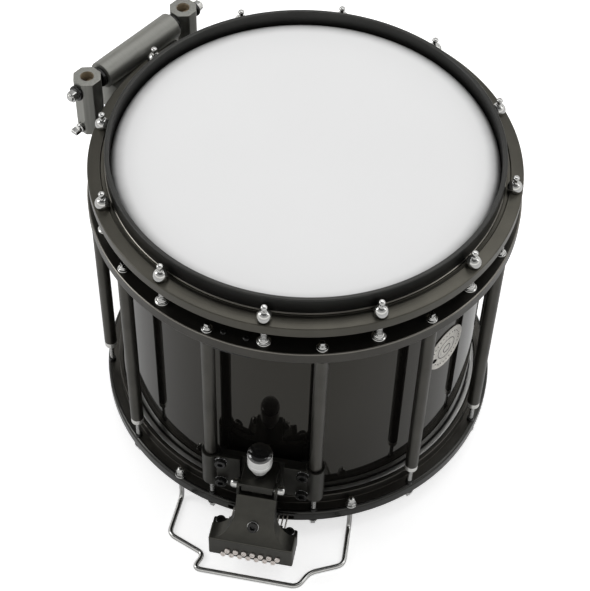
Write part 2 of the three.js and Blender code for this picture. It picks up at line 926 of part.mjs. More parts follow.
function lockPoint() {
  const z = pivotZ - lockScrew.drop;
  const share = (z - armTop) / (armFoot - armTop);
  return new THREE.Vector3(0, armTopFront + share * (armFootFront - armTopFront), z);
}

function lockBar(radius, from, to, facets, make = cylinder) {
  const face = lockPoint();
  const way = armNormal();
  const inward = new THREE.Vector3(0, way.y, -way.x);
  const start = face.clone().addScaledVector(inward, from);
  const end = face.clone().addScaledVector(inward, to);
  return make(radius, start.toArray(), end.toArray(), facets);
}

function lockHole() {
  const seat = lockScrew.headHeight / 2;
  const deep = lockScrew.shankLength + 2 * gap;
  const head = lockBar(lockScrew.headRadius, -overrun, seat + gap, boreFacets, hole);
  return head.add(lockBar(lockScrew.shankRadius, 0, deep, rodFacets, hole));
}

function makeLockScrew() {
  const seat = lockScrew.headHeight / 2;
  const head = lockBar(lockScrew.headRadius, seat - lockScrew.headHeight, seat, boreFacets);
  const shank = lockBar(lockScrew.shankRadius, 0, lockScrew.shankLength, rodFacets);
  const socket = lockBar(clampBolt.socketRadius, -lockScrew.headHeight, seat / 2, hexFacets);
  return head.add(shank).subtract(socket);
}

function makeBlock() {
  const { halfWidth, edge, pocketWidth, pocketDepth, pocketHeight } = block;
  const [back, front, top] = [blockBack, blockFront, blockTop];
  const outline = [
    [back, top],
    [back, blockBottom],
    [front + edge, blockBottom],
    [front, blockBottom + edge],
    [front, top - edge / 2],
    [front + edge / 2, top],
  ];
  let solid = prismX(outline, -halfWidth, halfWidth);
  for (const side of [-1, 1]) {
    const xs = [side * (halfWidth - pocketWidth), side * (halfWidth + overrun)].sort((a, b) => a - b);
    const pocket = box(xs, [back - pocketDepth, back + overrun], [top - pocketHeight, top + overrun]);
    solid = solid.subtract(pocket);
    const x = side * (halfWidth - heightScrew.inset);
    const y = back - pocketDepth / 2;
    const seat = top - pocketHeight;
    const headTop = seat + heightScrew.height;
    solid = solid.add(cylinder(heightScrew.radius, [x, y, seat - edge], [x, y, headTop], boreFacets));
  }
  for (const { x, z } of strandScrewPlaces()) {
    const end = front + strandScrew.shankLength + gap;
    solid = solid.subtract(hole(strandScrew.shankRadius, [x, front - overrun, z], [x, end, z], pinFacets));
  }
  const slotHalf = barHalf() + strand.pitch;
  const slotFront = front + strandScrew.shankLength - strandScrew.barDepth - gap;
  const room = strandScrew.shankRadius + 2 * gap;
  const slotZ = [screwRows[1] - room, screwRows[0] + room];
  return solid.subtract(box([-slotHalf, slotHalf], [slotFront, back + overrun], slotZ));
}

// Two staggered rows of screws, one for each strand
function strandScrewPlaces() {
  const places = [];
  screwRows.forEach((z, row) => {
    for (let i = 0; i < screwsPerRow; i += 1) {
      const shift = (row === 0 ? screwPitch : -screwPitch) / 4;
      places.push({ x: (i - (screwsPerRow - 1) / 2) * screwPitch + shift, z });
    }
  });
  return places;
}

function barHalf() {
  return (screwsPerRow * screwPitch) / 2 + strand.pitch;
}

// The strand screws end in one clamping bar inside the block
function makeStrandScrews() {
  const { headRadius, headLength, shankRadius, shankLength, barDepth } = strandScrew;
  const front = blockFront;
  const barY = [front + shankLength - barDepth, front + shankLength];
  const barZ = [screwRows[1] - shankRadius, screwRows[0] + shankRadius];
  let solid = box([-barHalf(), barHalf()], barY, barZ);
  for (const { x, z } of strandScrewPlaces()) {
    const headBack = front - gap;
    const shankStart = headBack - headLength / 2;
    const shankEnd = front + shankLength - barDepth / 2;
    solid = solid.add(cylinder(shankRadius, [x, shankStart, z], [x, shankEnd, z], pinFacets));
    solid = solid.add(cylinder(headRadius, [x, headBack - headLength, z], [x, headBack, z], hexFacets));
  }
  return solid;
}

// Snare cords from the gate to the butt, joined by their end bar
function makeStrands() {
  const start = blockFront + strandScrew.shankLength + gap;
  const barStart = buttInner - gap - butt.barThickness;
  const barEnd = buttInner - gap;
  const z = strandZ;
  const half = butt.barHalfWidth;
  let solid = box([-half, half], [barStart, barEnd], [z - butt.barHeight, z + strand.drop]);
  for (let i = 0; i < strand.count; i += 1) {
    const x = (i - (strand.count - 1) / 2) * strand.pitch;
    const end = (barStart + barEnd) / 2;
    solid = solid.add(cylinder(strand.radius, [x, start, z], [x, end, z], hexFacets));
  }
  return solid;
}

// Butt bracket on the rear tubes, drawn at the front and turned half round
function makeButtBracket() {
  const zs = [clampBottom, clampTop];
  const half = frontTubeX;
  const inner = bridgeFront;
  const plateZs = [zs[0] + bridge.inset, zs[1] - bridge.inset];
  let solid = box([-half, half], [inner - butt.armThickness, inner], plateZs);
  for (const side of [-1, 1]) {
    const x = side * frontTubeX;
    solid = solid.add(cylinder(sleeveRadius, [x, frontTubeY, zs[0]], [x, frontTubeY, zs[1]], knobFacets));
    const low = [x, frontTubeY, zs[0] - overrun];
    solid = solid.subtract(hole(tube.radius, low, [x, frontTubeY, zs[1] + overrun], knobFacets));
  }
  const footFront = -buttInner - butt.footThickness;
  const footTop = -headSpan + butt.footRise;
  const kneeZ = -headSpan + butt.kneeRise;
  const leg = [
    [inner - butt.armThickness / 2, clampMiddle],
    [inner - butt.armThickness, clampMiddle],
    [footFront, kneeZ],
    [footFront, footTop - overrun],
    [footFront + butt.armThickness, footTop - overrun],
    [footFront + butt.armThickness, kneeZ],
    [inner - butt.armThickness / 2, clampBottom + bridge.inset],
  ];
  solid = solid.add(prismX(leg, -butt.armHalfWidth, butt.armHalfWidth));
  const foot = box(
    [-butt.footHalfWidth, butt.footHalfWidth],
    [footFront, -buttInner],
    [snareFlangeBottom, footTop],
  );
  return solid.add(foot).rotate([0, 0, 180]);
}

// A rounded path whose knots are the sweep's own steps
class KnotPath extends THREE.Curve {
  constructor(knots) {
    super();
    this.knots = knots;
  }

  getPoint(t, target = new THREE.Vector3()) {
    const place = Math.min(Math.max(t, 0), 1) * (this.knots.length - 1);
    const i = Math.min(Math.floor(place), this.knots.length - 2);
    return target.lerpVectors(this.knots[i], this.knots[i + 1], place - i);
  }

  getUtoTmapping(u) {
    return u;
  }
}

function roundedKnots(corners, bend, steps) {
  const knots = [corners[0]];
  for (let i = 1; i < corners.length - 1; i += 1) {
    const before = corners[i - 1].clone().sub(corners[i]);
    const after = corners[i + 1].clone().sub(corners[i]);
    const reach = Math.min(bend, before.length() / 2, after.length() / 2);
    const start = corners[i].clone().addScaledVector(before.normalize(), reach);
    const end = corners[i].clone().addScaledVector(after.normalize(), reach);
    const arc = new THREE.QuadraticBezierCurve3(start, corners[i], end);
    knots.push(...arc.getPoints(steps));
  }
  knots.push(corners[corners.length - 1]);
  return knots;
}

function makeGuard() {
  const [footX, footY] = polar(tubeCircle, radians(guard.angle));
  const seat = snareFlangeTop + gap;
  const floor = snareFlangeBottom - guard.drop;
  const corners = [];
  for (const side of [-1, 1]) {
    const half = [
      new THREE.Vector3(side * footX, footY, seat + guard.nutHeight / 2),
      new THREE.Vector3(side * footX, footY, floor),
      new THREE.Vector3(side * (footX + guard.shoulderSpread), -hoopOuter - guard.shoulderDepth, floor),
      new THREE.Vector3(side * guard.notchHalfWidth + guard.skew, -hoopOuter - guard.notchDepth, floor),
      new THREE.Vector3(side * guard.noseHalfWidth - guard.skew, -hoopOuter - guard.noseDepth, floor),
    ];
    corners.push(...(side < 0 ? half : half.reverse()));
  }
  const path = new KnotPath(roundedKnots(corners, guard.bend, guard.bendSteps));
  const section = new THREE.Shape(
    Array.from({ length: rodFacets }, (_, i) => {
      const angle = (i + 1 / 2) * ((2 * Math.PI) / rodFacets);
      return new THREE.Vector2(guard.radius * Math.cos(angle), guard.radius * Math.sin(angle));
    }),
  );
  const steps = path.knots.length - 1;
  let solid = solidOf(new THREE.ExtrudeGeometry(section, { extrudePath: path, steps, bevelEnabled: false }));
  for (const side of [-1, 1]) {
    const flangeTop = seat + guard.nutFlange;
    const nutTop = seat + guard.nutHeight;
    const nut = turned(
      [
        [0, seat],
        [guard.nutRadius, seat],
        [guard.nutRadius, flangeTop],
        [guard.domeRadius, flangeTop],
        [guard.domeRadius, nutTop],
        [guard.domeRadius / 2, nutTop + guard.domeHeight],
        [0, nutTop + guard.domeHeight],
      ],
      boreFacets,
    );
    solid = solid.add(nut.translate([side * footX, footY, 0]));
  }
  return solid;
}

// Receivers, drawn at the front and turned to their place by their group
function postOutline(flats) {
  const reach = flats / 2 / Math.cos(Math.PI / postSides);
  return Array.from({ length: postSides }, (_, i) => {
    const angle = (i + 1 / 2) * ((2 * Math.PI) / postSides);
    return [reach * Math.cos(angle), reach * Math.sin(angle)];
  });
}

function makePost(side) {
  const { postHeight, postFlats, bore } = receiver;
  const x = side * postX;
  const bottom = postTop - postHeight;
  const outline = postOutline(postFlats).map(([dx, dy]) => [x + dx, receiverY + dy]);
  let solid = prismZ(outline, bottom, postTop);
  solid = solid.subtract(
    cylinder(bore, [x, receiverY, bottom - overrun], [x, receiverY, postTop + overrun], boreFacets),
  );
  const reach = postFlats / 2 + overrun;
  const from = [x - reach, receiverY, receiverZ];
  const bolt = hole(receiver.boltRadius, from, [x + reach, receiverY, receiverZ], boreFacets);
  const z = clampScrewZ;
  const screw = hole(clampScrew.radius, [x, receiverY, z], [x + side * reach, receiverY, z], rodFacets);
  return solid.subtract(bolt).subtract(screw);
}

function makeClampScrew(side) {
  const { postFlats, bore } = receiver;
  const { radius, collarRadius, collarLength, headSide, headLength } = clampScrew;
  const z = clampScrewZ;
  const x = side * postX;
  const tip = x + side * bore;
  const face = x + side * (postFlats / 2 + gap);
  const collarEnd = face + side * collarLength;
  const half = headSide / 2;
  const shankEnd = face + (side * collarLength) / 2;
  const shank = cylinder(radius, [tip, receiverY, z], [shankEnd, receiverY, z], rodFacets);
  const collar = cylinder(collarRadius, [face, receiverY, z], [collarEnd, receiverY, z], boreFacets);
  const headXs = [collarEnd - side * gap, collarEnd + side * headLength].sort((a, b) => a - b);
  const head = box(headXs, [receiverY - half, receiverY + half], [z - half / 2, z + half / 2]);
  return shank.add(collar).add(head);
}

function makeMountTube() {
  const { tubeRadius, tubeHalfLength, tubeBoreDepth, boltRadius } = receiver;
  let solid = cylinder(
    tubeRadius,
    [-tubeHalfLength, receiverY, receiverZ],
    [tubeHalfLength, receiverY, receiverZ],
    2 * boreFacets,
  );
  for (const side of [-1, 1]) {
    const inner = side * (tubeHalfLength - tubeBoreDepth);
    const outer = side * (tubeHalfLength + overrun);
    const bore = hole(boltRadius, [inner, receiverY, receiverZ], [outer, receiverY, receiverZ], boreFacets);
    solid = solid.subtract(bore);
  }
  return solid;
}

// Bolt with its inner bush, outer washer and capped nut
function makeMountBolt(side) {
  const { tubeHalfLength, tubeBoreDepth, postFlats } = receiver;
  const bar = (radius, from, to, facets) =>
    cylinder(radius, [side * from, receiverY, receiverZ], [side * to, receiverY, receiverZ], facets);
  const inner = tubeHalfLength - tubeBoreDepth + gap;
  const postOuter = postX + postFlats / 2;
  const washer = postOuter + gap + receiver.washerThickness;
  const nut = washer + receiver.nutThickness;
  const cap = nut + receiver.capThickness;
  const shank = bar(receiver.boltRadius, inner, nut - gap, rodFacets);
  const bush = bar(receiver.bushRadius, tubeHalfLength + gap, postInner - gap, 2 * boreFacets);
  const disc = bar(receiver.washerRadius, postOuter + gap, washer, 2 * boreFacets);
  const hex = bar(receiver.nutRadius, washer - gap, nut, hexFacets);
  const end = bar(receiver.capRadius, nut - gap, cap, boreFacets);
  return shank.add(bush).add(disc).add(hex).add(end);
}

function makeBracket() {
  const { halfLength, bite, cover, topDrop, bottomDrop } = bracket;
  const top = receiverZ - topDrop;
  const bottom = ringBottom - bottomDrop;
  const solid = box([-halfLength, halfLength], [receiverY - cover, bite - ringOuter], [bottom, top]);
  const { tubeRadius } = receiver;
  const end = halfLength + overrun;
  const ringHole = hole(ringOuter, [0, 0, bottom - overrun], [0, 0, top + overrun], ringFacets);
  const from = [-end, receiverY, receiverZ];
  const tubeHole = hole(tubeRadius, from, [end, receiverY, receiverZ], 2 * boreFacets);
  return solid.subtract(ringHole).subtract(tubeHole);
}

// Assembly
add("shell", makeShell(), materials.lacquer);
add("top_head", makeHead(), materials.film);
add("top_flesh_hoop", makeFleshHoop(), materials.brushed);
add("bottom_head", turnedOver(makeHead()), materials.film);
add("bottom_flesh_hoop", turnedOver(makeFleshHoop()), materials.brushed);
add("top_hoop", makeTopHoop(), materials.anodised);
add("tension_ring", makeTensionRing(), materials.anodised);
add("bottom_hoop", makeSnareHoop(), materials.anodised);
addRound("tension_rod", makeTensionRod(), materials.chrome, rodCircle, lugAngles);
addRound("tube", makeTube(), materials.anodised, tubeCircle, tubeAngles);
add("ring_stay", makeStay(), materials.blackMetal);
add("badge", makeBadge(), materials.badge);
add("strainer_bridge", makeBridge(), materials.anodised);
add("strainer_clamp_left", makeClamp(-1), materials.anodised);
add("strainer_clamp_right", makeClamp(1), materials.anodised);
add("clamp_bolts_left", makeClampBolts(-1), materials.blackMetal);
add("clamp_bolts_right", makeClampBolts(1), materials.blackMetal);
add("strainer_frame", makeFrame(), materials.anodised);
add("pivot_pin", makePin(), materials.chrome);
add("tension_knob", makeKnob(), materials.chrome);
add("push_pad", makePad(), materials.brushed);
add("gate_arm", makeArm(), materials.anodised);
add("gate_lock_screw", makeLockScrew(), materials.blackMetal);
add("strand_block", makeBlock(), materials.anodised);
add("strand_screws", makeStrandScrews(), materials.chrome);
add("snare_strands", makeStrands(), materials.cord);
add("butt_bracket", makeButtBracket(), materials.anodised);
add("guard_front", makeGuard(), materials.chrome);
add("guard_rear", makeGuard().rotate([0, 0, 180]), materials.chrome);

const receivers = new THREE.Group();
receivers.rotation.z = radians(receiver.angle);
drum.add(receivers);
add("receiver_bracket", makeBracket(), materials.anodised, receivers);
add("receiver_tube", makeMountTube(), materials.brushed, receivers);
add("receiver_post_front", makePost(1), materials.brushed, receivers);
add("receiver_post_rear", makePost(-1), materials.brushed, receivers);
add("receiver_bolt_front", makeMountBolt(1), materials.chrome, receivers);
add("receiver_bolt_rear", makeMountBolt(-1), materials.chrome, receivers);
add("clamp_screw_front", makeClampScrew(1), materials.chrome, receivers);
add("clamp_screw_rear", makeClampScrew(-1), materials.chrome, receivers);

export default drum;
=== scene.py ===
"""Marching snare drum: the shown pieces, their finishes and the stage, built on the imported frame."""

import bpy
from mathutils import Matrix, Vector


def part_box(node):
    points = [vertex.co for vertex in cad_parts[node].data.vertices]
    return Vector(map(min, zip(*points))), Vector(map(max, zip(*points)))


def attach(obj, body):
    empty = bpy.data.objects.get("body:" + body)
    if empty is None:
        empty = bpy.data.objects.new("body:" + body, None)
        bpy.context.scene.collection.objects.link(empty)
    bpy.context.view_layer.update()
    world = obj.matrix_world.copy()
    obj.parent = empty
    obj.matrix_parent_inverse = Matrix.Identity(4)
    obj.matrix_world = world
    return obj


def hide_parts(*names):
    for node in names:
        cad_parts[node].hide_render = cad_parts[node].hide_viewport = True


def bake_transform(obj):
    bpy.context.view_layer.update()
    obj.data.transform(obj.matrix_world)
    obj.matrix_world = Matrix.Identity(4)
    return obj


bl_info = {
    "name": "Marching Snare Drum",
    "version": (1, 0, 0),
    "blender": (4, 5, 0),
    "location": "View3D > Sidebar > Drum",
    "description": "Models a free-floating marching snare drum piece by piece, with its finishes and a studio stage",
    "category": "Object",
}

import math
from types import SimpleNamespace

import bmesh
import bpy
from mathutils import Matrix, Vector

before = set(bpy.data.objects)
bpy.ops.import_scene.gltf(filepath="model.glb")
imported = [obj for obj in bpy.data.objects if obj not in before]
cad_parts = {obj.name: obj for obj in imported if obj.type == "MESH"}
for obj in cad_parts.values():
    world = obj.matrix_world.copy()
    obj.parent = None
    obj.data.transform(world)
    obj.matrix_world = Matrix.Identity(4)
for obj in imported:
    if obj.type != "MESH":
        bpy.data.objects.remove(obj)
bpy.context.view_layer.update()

MM = 1000.0  # modelling is in millimetres, the finished meshes are in metres
LUGS = 12
FILM_PLAIN, FILM_DARK = 164.0, 178.0  # radii between which painted shade darkens the drum head towards its collar
TUBE_NAMES = [f"tube_{i + 1:02d}" for i in range(LUGS)]
ROD_NAMES = [f"tension_rod_{i + 1:02d}" for i in range(LUGS)]

# Sizes that several pieces share, in millimetres
HOOP_GAP = 0.6  # between a head and its hoop
SKIRT_WALL = 4.4  # of both hoops, beside the flesh hoops
HOOP_SEAT = 7.7  # from a head to the seat that presses on its flesh hoop
FLANGE = 12  # depth of the batter hoop's flange
SNARE_FLANGE = 7  # from the snare-side head to the top of its hoop's flange
LIP = 4  # depth of the snare-side hoop's lip under its flange
VENT = (-16, -6)  # from the badge's middle to the shell's vent
STRAND_PITCH = 4.1
STRAND_DROP = 1.1  # from the snare-side head to the strands
CLAMP_BORE, CLAMP_OUTSIDE = 6.65, 9.05  # radii of a tube clamp
POST_SCREW = 46  # from the cross tube down to a post's clamp screw


def low(node, axis):
    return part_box(node)[0]["xyz".index(axis)]


def high(node, axis):
    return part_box(node)[1]["xyz".index(axis)]


BADGE_HEIGHT = (low("badge", "z") + high("badge", "z")) / 2 * MM


# Properties


def length(name, description, default):
    return bpy.props.FloatProperty(name=name, description=description, default=default, unit="LENGTH", precision=5)


def colour(name, description, default):
    return bpy.props.FloatVectorProperty(
        name=name, description=description, default=default, size=3, subtype="COLOR", min=0, max=1
    )


def share(name, description, default):
    return bpy.props.FloatProperty(
        name=name, description=description, default=default, subtype="FACTOR", min=0, max=1
    )


class DrumBodySizes(bpy.types.PropertyGroup):
    """Shell, heads, hoops and the twelve lugs."""

    shell_radius: length("Shell radius", "Outer radius of the shell", high("shell", "y"))
    shell_top: length("Shell top", "Height of the upper bearing edge", high("shell", "z"))
    shell_bottom: length("Shell bottom", "Height of the lower bearing edge", low("shell", "z"))
    shell_wall: length("Shell wall", "Thickness of the shell", 0.007)
    head_radius: length("Head radius", "Outer radius of the head's folded collar", high("top_head", "y"))
    head_bottom: length("Lower head", "Height of the snare-side head's outer face", low("bottom_head", "z"))
    hoop_radius: length("Hoop radius", "Outer radius of both hoops", high("top_hoop", "y"))
    collar_top: length("Collar top", "Height of the batter hoop's collar", high("top_hoop", "z"))
    flange_bottom: length("Flange bottom", "Underside of the batter hoop's flange", low("top_hoop", "z"))
    ring_radius: length("Ring radius", "Outer radius of the middle ring", high("tension_ring", "y"))
    ring_top: length("Ring top", "Top of the middle ring", high("tension_ring", "z"))
    ring_bottom: length("Ring bottom", "Underside of the middle ring", low("tension_ring", "z"))
    skirt_top: length("Skirt top", "Top of the snare-side hoop's skirt", high("bottom_hoop", "z"))
    lip_bottom: length("Lip bottom", "Underside of the snare-side hoop's lip", low("bottom_hoop", "z"))
    rod_circle: length("Rod circle", "Radius of the circle of tension rods", 0.192)
    tube_circle: length("Tube circle", "Radius of the circle of tubes", 0.1955)
    tube_radius: length("Tube radius", "Radius of the twelve tubes", 0.00635)
    badge_radius: length("Badge radius", "Radius of the round badge", 0.025)
    badge_angle: bpy.props.FloatProperty(
        name="Badge angle", description="Turn of the badge round the shell, from the strainer",
        default=math.radians(59.5), subtype="ANGLE",
    )
    ring_steps: bpy.props.IntProperty(
        name="Ring steps", description="Steps round the shell, hoops and ring", default=240, min=48, max=512
    )


class DrumStrainerSizes(bpy.types.PropertyGroup):
    """Strainer, strands, butt and guards."""

    clamp_top: length("Clamp top", "Top of the two tube clamps", high("strainer_clamp_left", "z"))
    clamp_bottom: length("Clamp bottom", "Underside of the two tube clamps", low("strainer_clamp_left", "z"))
    frame_top: length("Frame top", "Top of the lever frame", high("strainer_frame", "z"))
    frame_front: length("Frame front", "Front of the lever frame", low("strainer_frame", "y"))
    knob_radius: length("Knob radius", "Radius of the tension knob", high("tension_knob", "x"))
    knob_top: length("Knob top", "Top of the tension knob", high("tension_knob", "z"))
    block_front: length("Block front", "Front face of the strand block", low("strand_block", "y"))
    block_bottom: length("Block bottom", "Underside of the strand block", low("strand_block", "z"))
    block_width: length("Block width", "Width of the strand block", 2 * high("strand_block", "x"))
    strand_radius: length("Strand radius", "Radius of one snare strand", 0.0008)
    guard_radius: length("Guard rod radius", "Radius of the bent guard rod", 0.0025)
    strands: bpy.props.IntProperty(name="Strands", description="Number of snare strands", default=14, min=2, max=20)


class DrumReceiverSizes(bpy.types.PropertyGroup):
    """Carrier receivers at the back left, in their own frame before they are turned round the drum."""

    turn: bpy.props.FloatProperty(
        name="Turn", description="Turn of the receivers round the drum", default=math.radians(-120), subtype="ANGLE"
    )
    reach: length("Reach", "Distance of the cross tube from the drum's axis", 0.2165)
    height: length("Height", "Height of the cross tube's axis", -0.006)
    tube_radius: length("Cross tube radius", "Radius of the cross tube", 0.0135)
    tube_half: length("Cross tube half length", "Half the length of the cross tube", 0.048)
    post_flats: length("Post width", "Width of a post across its flats", 0.026)
    post_bore: length("Post bore", "Radius of the socket in a post", 0.0066)
    post_place: length("Post place", "Distance of a post from the middle of the cross tube", 0.066)


class DrumFinishes(bpy.types.PropertyGroup):
    """Colours of the finishes."""

    lacquer: colour("Lacquer", "Gloss black shell", (0.006, 0.0055, 0.005))
    film: colour("Film", "Coated drum head", (0.87, 0.87, 0.87))
    # Painted shade: this dark colour is mixed into the drum head towards its collar, in place of the collar's shade
    film_shade: colour("Film shade", "Painted shade on the drum head towards its collar", (0.14, 0.14, 0.14))
    anodised: colour("Anodised", "Warm dark batter hoop", (0.080, 0.076, 0.064))
    ring: colour("Ring", "Dark middle ring and snare-side hoop", (0.060, 0.057, 0.051))
    strainer: colour("Strainer", "Dark cast strainer parts", (0.052, 0.051, 0.045))
    tube: colour("Tube", "Darker anodised tubes", (0.074, 0.071, 0.063))
    plating: colour("Plating", "Bright plated steel", (0.55, 0.55, 0.54))
    black_steel: colour("Black steel", "Black oxide screws and washers", (0.010, 0.010, 0.0095))
    brushed: colour("Brushed", "Brushed grey receivers", (0.265, 0.265, 0.245))
    bore: colour("Bore", "Warm grey lining of the sockets", (0.42, 0.36, 0.27))
    badge: colour("Badge", "Satin badge metal", (0.62, 0.60, 0.56))
    cable: colour("Cable", "Coated snare strands", (0.55, 0.53, 0.48))
    cap: colour("Cap", "Gloss black knob cap", (0.008, 0.008, 0.008))
    pearl: colour("Pearl", "Light satin band of the knob", (0.80, 0.80, 0.78))
    floor: colour("Floor", "Pale studio floor", (0.86, 0.86, 0.86))
    tarnish: share("Tarnish", "How far the finishes vary from spot to spot", 0.12)


class DrumStage(bpy.types.PropertyGroup):
    """Camera, lamps and floor."""

    camera: bpy.props.FloatVectorProperty(
        name="Camera", description="Place of the camera", default=(0.16437, -1.03053, 1.07896), size=3, unit="LENGTH"
    )
    yaw: bpy.props.FloatProperty(
        name="Yaw", description="Turn of the camera round the drum", default=math.radians(9.38), subtype="ANGLE"
    )
    pitch: bpy.props.FloatProperty(
        name="Pitch", description="How far the camera looks down", default=math.radians(50.93), subtype="ANGLE"
    )
    roll: bpy.props.FloatProperty(
        name="Roll", description="Lean of the camera", default=math.radians(1.91), subtype="ANGLE"
    )
    lens: bpy.props.FloatProperty(name="Lens", description="Focal length", default=99.58, min=10, unit="CAMERA")
    ambient: bpy.props.FloatProperty(name="Ambient", description="Studio light on matt surfaces", default=0.49)
    dimness: bpy.props.FloatProperty(name="Dimness", description="Studio light that mirrors see", default=0.13)
    wall_height: length("Wall height", "Height of the white wall that mirrors see", 5.0)
    key_power: bpy.props.FloatProperty(
        name="Key", description="Large softbox above and behind the drum", default=19.5, unit="POWER"
    )
    left_power: bpy.props.FloatProperty(name="Left", description="Left softbox", default=11, unit="POWER")
    right_power: bpy.props.FloatProperty(name="Right", description="Right softbox", default=5, unit="POWER")


SETTINGS = {
    "drum_body": DrumBodySizes,
    "drum_strainer": DrumStrainerSizes,
    "drum_receiver": DrumReceiverSizes,
    "drum_finishes": DrumFinishes,
    "drum_stage": DrumStage,
}


def values_of(name):
    """A property group's numbers and colours by name, with lengths in millimetres."""
    group = getattr(bpy.context.scene, name)
    values = {}
    for key, prop in group.bl_rna.properties.items():
        if prop.type in {"FLOAT", "INT"}:
            value = getattr(group, key)
            if prop.is_array:
                values[key] = tuple(value)
            else:
                values[key] = value * MM if prop.unit == "LENGTH" else value
    return SimpleNamespace(**values)


# Finishes


class Finish:
    """A material and the few nodes that vary it."""

    def __init__(self, name, base, metallic, roughness, **sockets):
        self.material = bpy.data.materials.new(name)
        self.material.use_nodes = True
        self.tree = self.material.node_tree
        self.shader = self.tree.nodes["Principled BSDF"]
        self.base = base
        self.set(self.shader, {"Base Color": (*base, 1), "Metallic": metallic, "Roughness": roughness, **sockets})

    def set(self, node, values):
        for socket, value in values.items():
            node.inputs[socket].default_value = value

    def node(self, kind, values=None, **settings):
        node = self.tree.nodes.new(kind)
        for key, value in settings.items():
            setattr(node, key, value)
        self.set(node, values or {})
        return node

    def link(self, source, target):
        self.tree.links.new(source, target)

    def place(self):
        """Object coordinates."""
        return self.node("ShaderNodeTexCoord").outputs["Object"]

    def stretched(self, scale):
        """Object coordinates with a scale for each axis."""
        mapping = self.node("ShaderNodeMapping", {"Scale": scale})
        self.link(self.place(), mapping.inputs["Vector"])
        return mapping.outputs["Vector"]

    def laid(self, turn, scale):
        """Object coordinates turned back by an angle about Z, with a scale for each axis."""
        mapping = self.node("ShaderNodeMapping", vector_type="TEXTURE")
        self.set(mapping, {"Rotation": (0, 0, turn), "Scale": [1 / each for each in scale]})
        self.link(self.place(), mapping.inputs["Vector"])
        return mapping.outputs["Vector"]

    def turning(self, reach):
        """Distance from the drum's axis and height, so that noise on it runs in lathe marks."""
        apart = self.node("ShaderNodeSeparateXYZ")
        self.link(self.place(), apart.inputs[0])
        flat = self.node("ShaderNodeCombineXYZ")
        self.link(apart.outputs["X"], flat.inputs["X"])
        self.link(apart.outputs["Y"], flat.inputs["Y"])
        radius = self.node("ShaderNodeVectorMath", operation="LENGTH")
        self.link(flat.outputs[0], radius.inputs[0])
        pair = self.node("ShaderNodeCombineXYZ")
        self.link(radius.outputs["Value"], pair.inputs["X"])
        self.link(apart.outputs["Z"], pair.inputs["Y"])
        scaled = self.node("ShaderNodeVectorMath", operation="SCALE")
        scaled.inputs["Scale"].default_value = reach
        self.link(pair.outputs[0], scaled.inputs[0])
        return scaled.outputs["Vector"]

    def noise(self, where, scale, detail=3):
        noise = self.node("ShaderNodeTexNoise", {"Scale": scale, "Detail": detail, "Roughness": 0.55})
        self.link(where, noise.inputs["Vector"])
        return noise.outputs["Fac"]

    def span(self, source, start, end, source_low=0.3, source_high=0.7):
        ramp = self.node("ShaderNodeMapRange", {"From Min": source_low, "From Max": source_high})
        self.set(ramp, {"To Min": start, "To Max": end})
        self.link(source, ramp.inputs["Value"])
        return ramp.outputs["Result"]

    def vary_roughness(self, source, start, end):
        self.link(self.span(source, start, end), self.shader.inputs["Roughness"])

    def mix(self, source, first, second):
        """Colours mixed by a factor; each is a colour or a socket that gives one."""
        mix = self.node("ShaderNodeMix", data_type="RGBA")
        self.link(source, mix.inputs[0])
        for socket, value in ((mix.inputs[6], first), (mix.inputs[7], second)):
            if isinstance(value, bpy.types.NodeSocket):
                self.link(value, socket)
            else:
                socket.default_value = (*value, 1)
        return mix.outputs[2]

    def vary_colour(self, source, dark, light):
        """Runs the base colour between two brightnesses of itself."""
        ends = [[min(c * share_of, 1) for c in self.base] for share_of in (dark, light)]
        self.link(self.mix(self.span(source, 0, 1), *ends), self.shader.inputs["Base Color"])

    def relief(self, *layers):
        """Adds bumps from [source, height in millimetres] pairs."""
        normal = None
        for source, height in layers:
            bump = self.node("ShaderNodeBump", {"Strength": 1.0, "Distance": height / MM})
            self.link(source, bump.inputs["Height"])
            if normal:
                self.link(normal, bump.inputs["Normal"])
            normal = bump.outputs["Normal"]
        self.link(normal, self.shader.inputs["Normal"])


def make_lacquer(name, colours, tarnish):
    warm = {"Specular IOR Level": 0.32, "Specular Tint": (1, 0.92, 0.72, 1)}
    made = Finish(name, colours.lacquer, 0, 0.04, **warm)
    ply = made.noise(made.stretched((3, 3, 60)), 6)
    made.vary_colour(ply, 1 - tarnish, 1 + tarnish)
    made.relief((made.noise(made.place(), 55, 2), 0.006))
    return made


def make_film(name, colours, tarnish):
    made = Finish(name, colours.film, 0, 0.5, **{"Specular IOR Level": 0.35, "Sheen Weight": 0.05})
    parts = made.node("ShaderNodeSeparateXYZ")
    made.link(made.turning(MM), parts.inputs[0])
    wander = made.node("ShaderNodeMath", {1: 2.0}, operation="MULTIPLY_ADD")
    made.link(made.noise(made.place(), 60, 2), wander.inputs[0])
    made.link(parts.outputs["X"], wander.inputs[2])
    # Painted shade: the film's colour darkens between the two radii towards the collar, standing in for the collar's
    # shade
    reach = made.span(wander.outputs[0], 0, 1, FILM_PLAIN, FILM_DARK)
    ease = made.node("ShaderNodeMath", {1: 1.8}, operation="POWER")
    made.link(reach, ease.inputs[0])
    cloud = made.noise(made.place(), 5, 2)
    plain = made.mix(made.span(cloud, 0, 1), [c * (1 - tarnish / 6) for c in colours.film], colours.film)
    shaded = made.mix(ease.outputs[0], plain, colours.film_shade)
    made.link(shaded, made.shader.inputs["Base Color"])
    coating = made.noise(made.place(), 900, 3)
    made.vary_roughness(coating, 0.44, 0.58)
    made.relief((coating, 0.03), (made.noise(made.place(), 2600, 2), 0.012))
    return made


